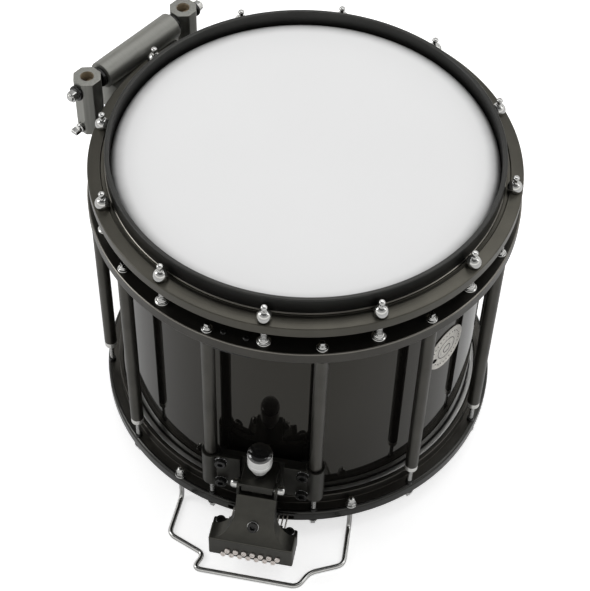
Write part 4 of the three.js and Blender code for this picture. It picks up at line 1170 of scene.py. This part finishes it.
def clamp_ring(s, p, x):
    """A clamp's ring round the tube at x, and the tool that clears that tube from the rest of the clamp."""
    ring = sleeve(CLAMP_BORE, CLAMP_OUTSIDE, (x, p.tube_y, s.clamp_bottom), (x, p.tube_y, s.clamp_top), 64, 0.5)
    tool = bar(CLAMP_BORE, (x, p.tube_y, s.clamp_bottom - 3), (x, p.tube_y, s.clamp_top + 3), 64, 0)
    return ring, tool


class DRUM_OT_strainer_mount(bpy.types.Operator):
    """Makes the two tube clamps, their screws and the bridge plate"""

    bl_idname = "drum.make_strainer_mount"
    bl_label = "Strainer mount"

    def execute(self, context):
        s, p = values_of("drum_strainer"), strainer_places()
        front = p.tube_y - 0.3
        for side, word in ((-1, "left"), (1, "right")):
            x = side * p.tube_x
            ring, tool = clamp_ring(s, p, x)
            wing = slab((side * 21, front - 6, s.clamp_bottom + 1), (x, front - 0.3, s.clamp_top - 1), 0.8)
            clamp = joined(ring, carved(wing, tool))
            node = "strainer_clamp_" + word
            make_piece("shown_" + node, [(clamp, "anodised_blasted")], "drum", [node])
            self.screws(s, p, side, front, "clamp_bolts_" + word)
        half = p.tube_x - 9.35
        bridge = slab((-half, front, s.clamp_bottom + 2), (half, front + 5, s.clamp_top - 2), 0.6)
        make_piece("shown_bridge", [(bridge, "anodised_blasted")], "drum", ["strainer_bridge"])
        return {"FINISHED"}

    def screws(self, s, p, side, front, node):
        x, seat = side * p.bolt_x, front - 6.3
        shapes = [slab((x - 3, front + 5.3, s.clamp_bottom + 4), (x + 3, front + 8.3, s.clamp_top - 4), 0.5)]
        glint_rings = []
        for z in p.screw_heights:
            shapes.append(socket_head(5.7, 5, (x, seat - 5, z), (x, seat, z), 5.075))
            shapes.append(bar(2.5, (x, seat - 1, z), (x, front + 6, z), 20, 0))
            # a thin ring at each seat carries a painted glint round the black head
            glint_rings.append(sleeve(5.6, 6.3, (x, seat - 0.7, z), (x, seat, z), 40, 0.25))
        parts = [(joined(*shapes), "black_steel"), (joined(*glint_rings), "bright_rim")]
        make_piece("shown_" + node, parts, "drum", [node])


class DRUM_OT_strainer_frame(bpy.types.Operator):
    """Makes the lever frame, its pivot pin, the tension knob and the push pad"""

    bl_idname = "drum.make_strainer_frame"
    bl_label = "Strainer frame"

    def execute(self, context):
        s, p = values_of("drum_strainer"), strainer_places()
        self.lever_frame(s, p)
        self.pin(p)
        self.knob(s, p)
        self.pad(p)
        return {"FINISHED"}

    def lever_frame(self, s, p):
        top, front, back, half = s.frame_top, s.frame_front, p.tube_y - 0.6, 16.4
        roof = slab((-half, front, top - 4.5), (half, back, top), 0.8)
        hole = bar(3.3, (0, p.knob_y, top - 9), (0, p.knob_y, top + 4), 32, 0)
        roof = carved(roof, hole)
        web = slab((-half, back - 7.5, top - 41), (half, back, top - 1), 0.8)
        lugs = [
            slab((side * 9, front + 0.2, top - 11.5), (side * 15, front + 10.5, top - 2), 0.5) for side in (-1, 1)
        ]
        apron = slab((-9.6, front + 0.1, top - 11), (9.6, front + 2.6, top - 3), 0.5)
        bush = sleeve(3.25, 5.6, (0, p.knob_y, top - 0.4), (0, p.knob_y, top + 0.7), 32, 0.2)
        shapes = joined(roof, web, apron, *lugs)
        parts = [(shapes, "anodised_blasted"), (bush, "black_steel")]
        make_piece("shown_lever_frame", parts, "drum", ["strainer_frame"])

    def pin(self, p):
        y, z = p.pivot_y, p.pivot_z
        shapes = [bar(2.5, (-19.8, y, z), (19.8, y, z), 24, 0)]
        for side in (-1, 1):
            head = turned([(0, 0), (4.5, 0), (4.5, 3.8), (3.6, 6.2), (0, 7.2)], 32, [0, 0.4, 0.9, 1.2, 0], 3)
            shapes.append(set_along(head, (side * 19.5, y, z), (side * 30, y, z)))
        make_piece("shown_pivot_pin", [(joined(*shapes), "plated")], "drum", ["pivot_pin"])

    def knob(self, s, p):
        top, r = s.knob_top + 1.6, s.knob_radius
        rim = top - 4.4
        crown = [math.pi / 2 * i / 14 for i in range(15)]
        reach, rise = r - 0.15, top - rim - 0.4
        dome = [(reach * math.sin(a) ** 0.9, rim + 0.4 + rise * math.cos(a) ** 0.9) for a in crown[1:]]
        cap = turned([(0, top), *dome, (reach, rim), (0, rim)], 64)
        band = turned(
            [(0, rim), (r, rim), (r, rim - 15), (0.6 * r, rim - 27), (0, rim - 27)], 64, [0, 0.5, 2, 0.4, 0], 4,
        )
        neck = turned(
            [(0, rim - 26.2), (0.63 * r, rim - 26.2), (5, rim - 32), (5, s.frame_top + 1.2), (3, s.frame_top + 1.2),
             (3, s.frame_top - 9), (0, s.frame_top - 9)],
            48, 0.3,
        )
        parts = [(cap, "gloss_cap"), (band, "pearl_band"), (neck, "black_steel")]
        parts = [(moved(shape, (0, p.knob_y, 0)), look) for shape, look in parts]
        make_piece("shown_knob", parts, "knob", ["tension_knob"])

    def pad(self, p):
        bottom, top = low("push_pad", "z") * MM, high("push_pad", "z") * MM
        profile = [
            (0, bottom), (1.8, bottom), (4.2, bottom + 1.6), (4.2, top), (3.3, top), (3.3, top - 4.2), (0, top - 4.2),
        ]
        shape = moved(turned(profile, 40, 0.25), (0, p.knob_y, 0))
        make_piece("shown_push_pad", [(shape, "plated")], "pusher", ["push_pad"])


class DRUM_OT_gate(bpy.types.Operator):
    """Makes the hanging gate: arm with its flared foot, lock screw, strand block and strand screws"""

    bl_idname = "drum.make_gate"
    bl_label = "Gate"

    def execute(self, context):
        s, p = values_of("drum_strainer"), strainer_places()
        self.top = Vector((0, p.pivot_y - 6, p.pivot_z - 9.5))
        self.foot = Vector((0, p.pivot_y - 34, p.pivot_z - 49.5))
        slope = (self.foot - self.top).normalized()
        self.inward = Vector((0, -slope.z, slope.y))
        self.arm(p)
        self.lock_screw()
        self.block(s, p)
        self.strand_screws(s)
        return {"FINISHED"}

    def arm(self, p):
        half, flare, rise = 19.2, 20.4, 22
        drop = self.top.z - self.foot.z
        knee_y, knee_z, foot_back = self.top.y + 6.6, self.top.z - 12.6, self.foot.y + 17

        def place(across, back, height):
            z = self.foot.z + drop * height
            front = self.front(height)
            low_share = max(0, (knee_z - z) / (knee_z - self.foot.z))
            behind = knee_y + (foot_back - knee_y) * low_share
            near = max(0, 1 - drop * height / rise)
            width = half + flare * (1 - math.sqrt(1 - near**2))
            return Vector(((2 * across - 1) * width, front + (behind - front) * back, z))

        body = soften(lofted(32, place), 1.1, 3, 35)
        y, z = p.pivot_y, p.pivot_z
        ear_outline = [
            (y - 3, z + 6), (y - 6, z + 3), (y - 6, z - 9.5), (y + 0.5, z - 20), (y + 6, z - 7), (y + 6, z + 3),
            (y + 3, z + 6),
        ]
        ears = []
        for side in (-1, 1):
            start = 16.7 if side > 0 else -19.2
            ear = prism([(start, *point) for point in ear_outline], (2.5, 0, 0))
            tool = bar(2.8, (start - 3, y, z), (start + 6, y, z), 32, 0)
            ears.append(soften(carved(ear, tool), 0.3, 1, 40))
        finger = slab((-5, self.top.y + 4, p.pivot_z - 11.3), (5, p.knob_y + 4.2, p.pivot_z - 6.3), 0.6)
        whole = joined(body, finger, *ears)
        make_piece("shown_gate_arm", [(whole, "anodised_blasted")], "gate", ["gate_arm"])

    def front(self, height):
        """The arm's front, straight above and swept outwards below, from 0 at its foot to 1 at its top."""
        sweep, bend = 5, 0.45
        low_share = max(0, 1 - height / bend)
        return self.top.y + (self.foot.y - self.top.y + sweep) * (1 - height) - sweep * low_share**2

    def lock_screw(self):
        height = 1 - 27.5 / (self.top.z - self.foot.z)
        face = Vector((0, self.front(height), self.foot.z + (self.top.z - self.foot.z) * height))
        start = face - self.inward * 3.4
        head = socket_head(5.2, 5.2, start, face, 4.9)
        # a thin ring at the seat carries a painted glint round the black head
        rim = sleeve(5.1, 5.7, face - self.inward * 0.7, face + self.inward * 0.2, 40, 0.25)
        parts = [(head, screw_look(self.inward)), (rim, "bright_rim")]
        make_piece("shown_lock_screw", parts, "gate", ["gate_lock_screw"])

    def block(self, s, p):
        half, back, front = s.block_width / 2, p.pivot_y - 7, s.block_front
        top, under = self.foot.z - 0.3, s.block_bottom
        shape = slab((-half, front, under), (half, back, top), 1.8, 4)
        tools = [slab((-33, front + 4.7, s.block_bottom - 3), (33, back + 4, s.block_bottom + 10), 0)]
        for side in (-1, 1):
            tools.append(slab((side * 26.3, back - 10, top - 5), (side * (half + 4), back + 4, top + 4), 0))
        shape = carved(shape, *tools)

        # the block's bevels get a painted highlight; its flat faces keep the blasted finish
        def look(part):
            return "anodised_blasted" if max(abs(c) for c in part.normal) > 0.93 else "cast_edge"

        parts = [(shape, look)]
        for side in (-1, 1):
            x, y = side * (half - 7.5), back - 5
            screw = socket_head(4.9, 4.8, (x, y, top - 0.2), (x, y, top - 5), 4.375, 2.6)
            parts.append((screw, screw_look((0, 0, -1))))
        make_piece("shown_strand_block", parts, "gate", ["strand_block"])

    def strand_screws(self, s):
        front, z = s.block_front, values_of("drum_body").head_bottom - STRAND_DROP
        shapes = []
        for aside, height in ((STRAND_PITCH / 2, z + 4.2), (-STRAND_PITCH / 2, z - 2.4)):
            for i in range(s.strands // 2):
                x = (i - (s.strands // 2 - 1) / 2) * 2 * STRAND_PITCH + aside
                head = turned(
                    [(0, 0.9), (1.1, 0.9), (1.3, 0.1), (2.2, 0), (2.65, 0.5), (2.65, 2.8), (0, 2.8)], 20,
                    [0, 0.1, 0.1, 0.2, 0.2, 0.1, 0], 2,
                )
                shapes.append(set_along(head, (x, front - 2.2, height + 1.2), (x, front, height)))
                shapes.append(bar(1.5, (x, front - 0.6, height), (x, front + 6.5, height), 12, 0))
        half = s.strands * STRAND_PITCH / 2 + 4
        shapes.append(slab((-half, front + 5, z - 5.3), (half, front + 8, z + 2.8), 0.3))
        make_piece("shown_strand_screws", [(joined(*shapes), "screw_steel")], "gate", ["strand_screws"])


class DRUM_OT_strands(bpy.types.Operator):
    """Makes the snare strands between the gate and the butt, each cut into lengths"""

    bl_idname = "drum.make_strands"
    bl_label = "Snare strands"

    def execute(self, context):
        s, body = values_of("drum_strainer"), values_of("drum_body")
        z = body.head_bottom - STRAND_DROP
        start, end = s.block_front + 8.3, high("snare_strands", "y") * MM
        stop, lengths = end - 1.5, 24
        cuts = [(0, start + (stop - start) * k / lengths, 0) for k in range(1, lengths)]
        shapes = []
        for i in range(s.strands):
            x = (i - (s.strands - 1) / 2) * STRAND_PITCH
            shape = bar(s.strand_radius, (x, start, z), (x, stop, z), 10, 0)
            sliced(shape, cuts, (0, 1, 0))
            shapes.append(shape)
        holder = slab((-30, end - 3, z - 8), (30, end, z + 1.1), 0.5)
        parts = [(joined(*shapes), "strand_cable"), (holder, "plated")]
        piece = make_piece("shown_strands", parts, None, ["snare_strands"], weighted=False)
        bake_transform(piece)
        return {"FINISHED"}


class DRUM_OT_butt(bpy.types.Operator):
    """Makes the fixed bracket on the two rear tubes that the strands end at"""

    bl_idname = "drum.make_butt"
    bl_label = "Butt bracket"

    def execute(self, context):
        s, body, p = values_of("drum_strainer"), values_of("drum_body"), strainer_places()
        inner, half = p.tube_y - 0.3, p.tube_x
        plate = slab((-half, inner - 6, s.clamp_bottom + 2), (half, inner, s.clamp_top - 2), 0.8)
        rings, tools = zip(*[clamp_ring(s, p, side * half) for side in (-1, 1)])
        plate = carved(plate, *tools)
        foot_front = -body.hoop_radius - 16
        foot_top, knee = body.head_bottom + 9, body.head_bottom + 25
        outline = [
            (inner - 3, p.clamp_middle), (inner - 6, p.clamp_middle), (foot_front, knee), (foot_front, foot_top - 3),
            (foot_front + 6, foot_top - 3), (foot_front + 6, knee), (inner - 3, s.clamp_bottom + 2),
        ]
        leg = prism([(-18, *point) for point in outline], (36, 0, 0), 0.8)
        foot = slab((-33, foot_front, body.lip_bottom + LIP), (33, foot_front + 10, foot_top), 0.9)
        shape = joined(plate, leg, foot, *rings)
        screws = []
        for side in (-1, 1):
            x, z = side * 25, body.lip_bottom + 12
            screws.append(socket_head(4, 3, (x, foot_front - 2.6, z), (x, foot_front + 2, z), 3.5, 1.8))
            x = side * p.bolt_x
            for z in p.screw_heights:
                screws.append(socket_head(4, 3, (x, inner - 8.8, z), (x, inner - 5, z), 3.5, 1.8))
        parts = [(shape, "anodised_blasted"), (joined(*screws), "black_steel")]
        parts = [(moved(shape, (0, 0, 0), math.pi), look) for shape, look in parts]
        make_piece("shown_butt", parts, "drum", ["butt_bracket"])
        return {"FINISHED"}


class DRUM_OT_guards(bpy.types.Operator):
    """Makes the two guards of bent rod with their cap nuts"""

    bl_idname = "drum.make_guards"
    bl_label = "Guards"

    def execute(self, context):
        s, body = values_of("drum_strainer"), values_of("drum_body")
        for node, turn in (("guard_front", 0.0), ("guard_rear", math.pi)):
            shape = moved(self.guard(s, body), (0, 0, 0), turn)
            make_piece("shown_" + node, [(shape, "plated")], "drum", [node])
        return {"FINISHED"}

    def guard(self, s, body):
        x, y = polar(body.tube_circle, math.radians(26))
        seat, floor = body.head_bottom + SNARE_FLANGE + 0.3, body.lip_bottom + LIP - 25
        hoop = -body.hoop_radius
        left, right = [
            [
                (side * x, y, seat + 3), (side * x, y, floor), (side * (x + 2.3), hoop - 22, floor),
                (side * bend, hoop - 37.5, floor), (side * end, hoop - 55, floor),
            ]
            for side, bend, end in ((-1, 49.3, 55.7), (1, 56.7, 48.3))
        ]
        rod = swept(rounded_path(left + right[::-1], 7, 8), s.guard_radius)
        nuts = [cap_nut(side * x, y, seat) for side in (-1, 1)]
        return joined(rod, *nuts)


class DRUM_OT_receivers(bpy.types.Operator):
    """Makes the bracket, the cross tube, the two posts and their bolts and clamp screws"""

    bl_idname = "drum.make_receivers"
    bl_label = "Carrier receivers"

    def execute(self, context):
        s = values_of("drum_receiver")
        self.turn = s.turn
        self.bracket(s)
        self.cross_tube(s)
        for side, word in ((1, "front"), (-1, "rear")):
            self.post(s, side, word)
            self.bolt(s, side, word)
            self.clamp_screw(s, side, word)
        return {"FINISHED"}

    def put(self, name, parts, body, node, slot):
        parts = [(moved(shape, (0, 0, 0), self.turn), look) for shape, look in parts]
        make_piece(name, parts, body, [node])

    def bracket(self, s):
        body = values_of("drum_body")
        outer = body.ring_radius
        y, under = -s.reach, body.ring_bottom - 0.5
        shape = slab((-44, y - 6.5, under), (44, 12.3 - outer, s.height - 9), 1.2, 3)
        ring = bar(outer + 0.3, (0, 0, under - 3), (0, 0, s.height + 3), 240, 0)
        tube = bar(s.tube_radius + 0.3, (-60, y, s.height), (60, y, s.height), 64, 0)
        parts = [(carved(shape, ring, tube), "brushed_post")]
        self.put("shown_receiver_bracket", parts, "drum", "receiver_bracket", "receiver_dark")

    def cross_tube(self, s):
        y, z = -s.reach, s.height
        tube = bar(s.tube_radius, (-s.tube_half, y, z), (s.tube_half, y, z), 96, 0.8)
        self.put("shown_receiver_tube", [(tube, "brushed_tube")], "drum", "receiver_tube", "receiver_metal")

    def post(self, s, side, word):
        x, y, z = side * s.post_place, -s.reach, s.height
        top, bottom = z + 11.5, z - 53.5
        shape = polygon_bar(8, s.post_flats, (x, y, bottom), (x, y, top), 0.7)
        bore = bar(s.post_bore, (x, y, bottom - 3), (x, y, top + 3), 48, 0)
        cross = bar(4.4, (x - 20, y, z), (x + 20, y, z), 32, 0)
        screw = bar(3.4, (x, y, z - POST_SCREW), (x + side * 20, y, z - POST_SCREW), 24, 0)
        mouth = top - 1.5
        rim = turned([(0, mouth), (s.post_bore - 0.2, mouth), (s.post_bore + 1.1, top + 0.4), (0, top + 0.4)], 48)
        shape = carved(shape, bore, moved(rim, (x, y, 0)), cross.copy(), screw)
        lining = sleeve(s.post_bore - 0.25, s.post_bore + 0.4, (x, y, bottom + 0.6), (x, y, top - 1.3), 48, 0)
        lining = carved(lining, cross)
        middle = Matrix.Rotation(self.turn, 3, "Z") @ Vector((x, y, 0))

        def look(part):
            inside = (part.calc_center_median() - middle).xy.length < s.post_bore + 1
            return "socket_lining" if inside and part.normal.z < 0.97 else "brushed_post"

        parts = [(shape, look), (lining, "socket_lining")]
        self.put("shown_post_" + word, parts, "receiver_" + word, "receiver_post_" + word, "receiver_metal")

    def bolt(self, s, side, word):
        y, z = -s.reach, s.height
        outer = s.post_place + s.post_flats / 2

        def piece(make, size, start, end, *more):
            return make(size, (side * start, y, z), (side * end, y, z), *more)

        shank = piece(bar, 4, s.tube_half - 25.7, outer + 9.3, 24, 0)
        bush = piece(bar, 10, s.tube_half + 0.3, outer - s.post_flats - 0.3, 48, 0.8)
        washer = piece(bar, 7.8, outer + 0.3, outer + 3.9, 48, 1.0)
        hexagon = polygon_bar(6, 10.4, (side * (outer + 3.7), y, z), (side * (outer + 9.9), y, z), 0.6)
        dome = turned([(0, 0), (4, 0), (4, 1.6), (2.4, 2.9), (0, 3.1)], 32, 0.6, 3)
        dome = set_along(dome, (side * (outer + 9.6), y, z), (side * (outer + 20), y, z))
        parts = [(joined(shank, hexagon, dome), "plated"), (joined(bush, washer), "black_steel")]
        self.put("shown_bolt_" + word, parts, "drum", "receiver_bolt_" + word, "receiver_chrome")

    def clamp_screw(self, s, side, word):
        x, y, z = side * s.post_place, -s.reach, s.height - POST_SCREW
        face = x + side * (s.post_flats / 2 + 0.3)
        shank = bar(3, (x + side * s.post_bore, y, z), (face + side * 2, y, z), 24, 0)
        collar = turned([(0, 0), (5, 0), (5, 2.4), (3.8, 3.4), (3.8, 5), (0, 5)], 32, 0.4)
        collar = set_along(collar, (face, y, z), (face + side * 5, y, z))
        wing = slab((face + side * 4.6, y - 4, z - 2), (face + side * 11, y + 4, z + 2), 0.9, 3)
        parts = [(joined(shank, collar, wing), "plated")]
        self.put("shown_clamp_screw_" + word, parts, "receiver_" + word, "clamp_screw_" + word, "receiver_chrome")


class DRUM_OT_stage(bpy.types.Operator):
    """Makes the floor, the lamps, the surroundings and the camera"""

    bl_idname = "drum.make_stage"
    bl_label = "Stage"

    def execute(self, context):
        s = context.scene.drum_stage
        self.floor()
        self.world(context, s)
        self.backdrop(s)
        self.lamps(context, s)
        self.camera(context, s)
        view = context.scene.view_settings
        view.view_transform = "Standard"
        return {"FINISHED"}

    def floor(self):
        shape = bmesh.new()
        height = low("guard_front", "z") - 0.0002
        matrix = Matrix.Translation((0, 0, height))
        bmesh.ops.create_grid(shape, x_segments=8, y_segments=8, size=6, matrix=matrix)
        floor = linked("studio_floor", shape)
        made = Finish("studio_floor", values_of("drum_finishes").floor, 0, 0.9)
        made.relief((made.noise(made.place(), 120, 2), 0.05))
        seen_lift, mirror_lift = 0.6, 0.1  # glow that pales the floor to the camera and to mirrors
        path = made.node("ShaderNodeLightPath")
        lift = made.node("ShaderNodeMath", {1: seen_lift}, operation="MULTIPLY")
        made.link(path.outputs["Is Camera Ray"], lift.inputs[0])
        mirrored = made.node("ShaderNodeMath", {1: mirror_lift}, operation="MULTIPLY_ADD")
        made.link(path.outputs["Is Glossy Ray"], mirrored.inputs[0])
        made.link(lift.outputs[0], mirrored.inputs[2])
        made.shader.inputs["Emission Color"].default_value = (1, 1, 1, 1)
        made.link(mirrored.outputs[0], made.shader.inputs["Emission Strength"])
        floor.data.materials.append(made.material)

    def world(self, context, s):
        """White to the camera, plain to matt surfaces and dim to mirrors, so that metal keeps its contrast."""
        world = bpy.data.worlds.new("studio")
        world.use_nodes = True
        tree = world.node_tree
        back = tree.nodes["Background"]
        back.inputs["Color"].default_value = (1, 1, 1, 1)
        path = tree.nodes.new("ShaderNodeLightPath")
        strength = s.ambient
        for ray, level in (("Is Glossy Ray", s.dimness), ("Is Camera Ray", 1.0)):
            mix = tree.nodes.new("ShaderNodeMix")
            mix.inputs[3].default_value = level
            if isinstance(strength, float):
                mix.inputs[2].default_value = strength
            else:
                tree.links.new(strength, mix.inputs[2])
            tree.links.new(path.outputs[ray], mix.inputs[0])
            strength = mix.outputs[0]
        tree.links.new(strength, back.inputs["Strength"])
        context.scene.world = world

    def backdrop(self, s):
        """A white wall round the floor that only mirrors see."""
        shape = bmesh.new()
        ring = bmesh.ops.create_circle(shape, segments=64, radius=4)
        band = bmesh.ops.extrude_edge_only(shape, edges=list({e for v in ring["verts"] for e in v.link_edges}))
        lifted = [v for v in band["geom"] if isinstance(v, bmesh.types.BMVert)]
        bmesh.ops.translate(shape, vec=(0, 0, s.wall_height), verts=lifted)
        bmesh.ops.translate(shape, vec=(0, 0, low("guard_front", "z")), verts=shape.verts)
        wall = linked("studio_wall", shape)
        made = Finish("studio_wall", (0.8, 0.8, 0.8), 0, 1)
        self.glow(made, s)
        wall.data.materials.append(made.material)
        wall.visible_camera = wall.visible_diffuse = wall.visible_shadow = False

    def glow(self, made, s):
        """The wall is brightest at a fifth of its height and fades towards its top."""
        apart = made.node("ShaderNodeSeparateXYZ")
        made.link(made.place(), apart.inputs[0])
        fade = made.span(apart.outputs["Z"], 1.0, 0.08, 0.16 * s.wall_height, 0.44 * s.wall_height)
        rise = made.span(apart.outputs["Z"], 0.3, 1.0, 0, 0.16 * s.wall_height)
        both = made.node("ShaderNodeMath", operation="MULTIPLY")
        made.link(fade, both.inputs[0])
        made.link(rise, both.inputs[1])
        made.shader.inputs["Emission Color"].default_value = (0.97, 0.955, 0.915, 1)
        made.link(both.outputs[0], made.shader.inputs["Emission Strength"])

    def lamps(self, context, s):
        self.softbox(context, "key_softbox", s.key_power, (2.4, 1.6), (0.25, 0.95, 2.1))
        self.softbox(context, "left_softbox", s.left_power, (0.7, 1.1), (-1.9, -0.2, 1.25))
        self.softbox(context, "right_softbox", s.right_power, (0.7, 1.1), (1.9, 0.3, 1.5))

    def softbox(self, context, name, power, size, place):
        data = bpy.data.lights.new(name, "AREA")
        data.shape = "RECTANGLE"
        data.energy, data.size, data.size_y = power, *size
        lamp = bpy.data.objects.new(name, data)
        lamp.location = place
        aim = Vector((0, 0, -0.15)) - Vector(place)
        lamp.rotation_euler = aim.to_track_quat("-Z", "Y").to_euler()
        context.scene.collection.objects.link(lamp)

    def camera(self, context, s):
        data = bpy.data.cameras.new("studio_camera")
        data.lens, data.sensor_width, data.sensor_fit = s.lens, 36, "AUTO"
        data.clip_start, data.clip_end = 0.05, 50
        camera = bpy.data.objects.new("studio_camera", data)
        a, e, r = s.yaw, s.pitch, s.roll
        back = Vector((math.sin(a) * math.cos(e), -math.cos(a) * math.cos(e), math.sin(e)))
        right = Vector((math.cos(a), math.sin(a), 0))
        up = back.cross(right)
        side = math.cos(r) * right + math.sin(r) * up
        head = -math.sin(r) * right + math.cos(r) * up
        turn = Matrix((side, head, back)).transposed().to_4x4()
        camera.matrix_world = Matrix.Translation(s.camera) @ turn
        context.scene.collection.objects.link(camera)
        context.scene.camera = camera


OPERATORS = [
    DRUM_OT_shell,
    DRUM_OT_badge,
    DRUM_OT_heads,
    DRUM_OT_hoops,
    DRUM_OT_rods,
    DRUM_OT_tubes,
    DRUM_OT_stay,
    DRUM_OT_strainer_mount,
    DRUM_OT_strainer_frame,
    DRUM_OT_gate,
    DRUM_OT_strands,
    DRUM_OT_butt,
    DRUM_OT_guards,
    DRUM_OT_receivers,
    DRUM_OT_stage,
]


class DRUM_PT_panel(bpy.types.Panel):
    """Lists the steps that build the drum"""

    bl_idname = "DRUM_PT_panel"
    bl_label = "Marching Snare Drum"
    bl_space_type = "VIEW_3D"
    bl_region_type = "UI"
    bl_category = "Drum"

    def draw(self, context):
        for operator in OPERATORS:
            self.layout.operator(operator.bl_idname)
        for name in SETTINGS:
            group = getattr(context.scene, name)
            box = self.layout.box()
            for key in group.bl_rna.properties.keys():
                if key not in {"rna_type", "name"}:
                    box.prop(group, key)


CLASSES = [*SETTINGS.values(), *OPERATORS, DRUM_PT_panel]


def register():
    for made in CLASSES:
        bpy.utils.register_class(made)
    for name, group in SETTINGS.items():
        setattr(bpy.types.Scene, name, bpy.props.PointerProperty(type=group))


def unregister():
    for name in SETTINGS:
        delattr(bpy.types.Scene, name)
    for made in reversed(CLASSES):
        bpy.utils.unregister_class(made)


def main():
    register()
    for operator in OPERATORS:
        space, word = operator.bl_idname.split(".")
        getattr(getattr(bpy.ops, space), word)()


if __name__ == "__main__":
    main()
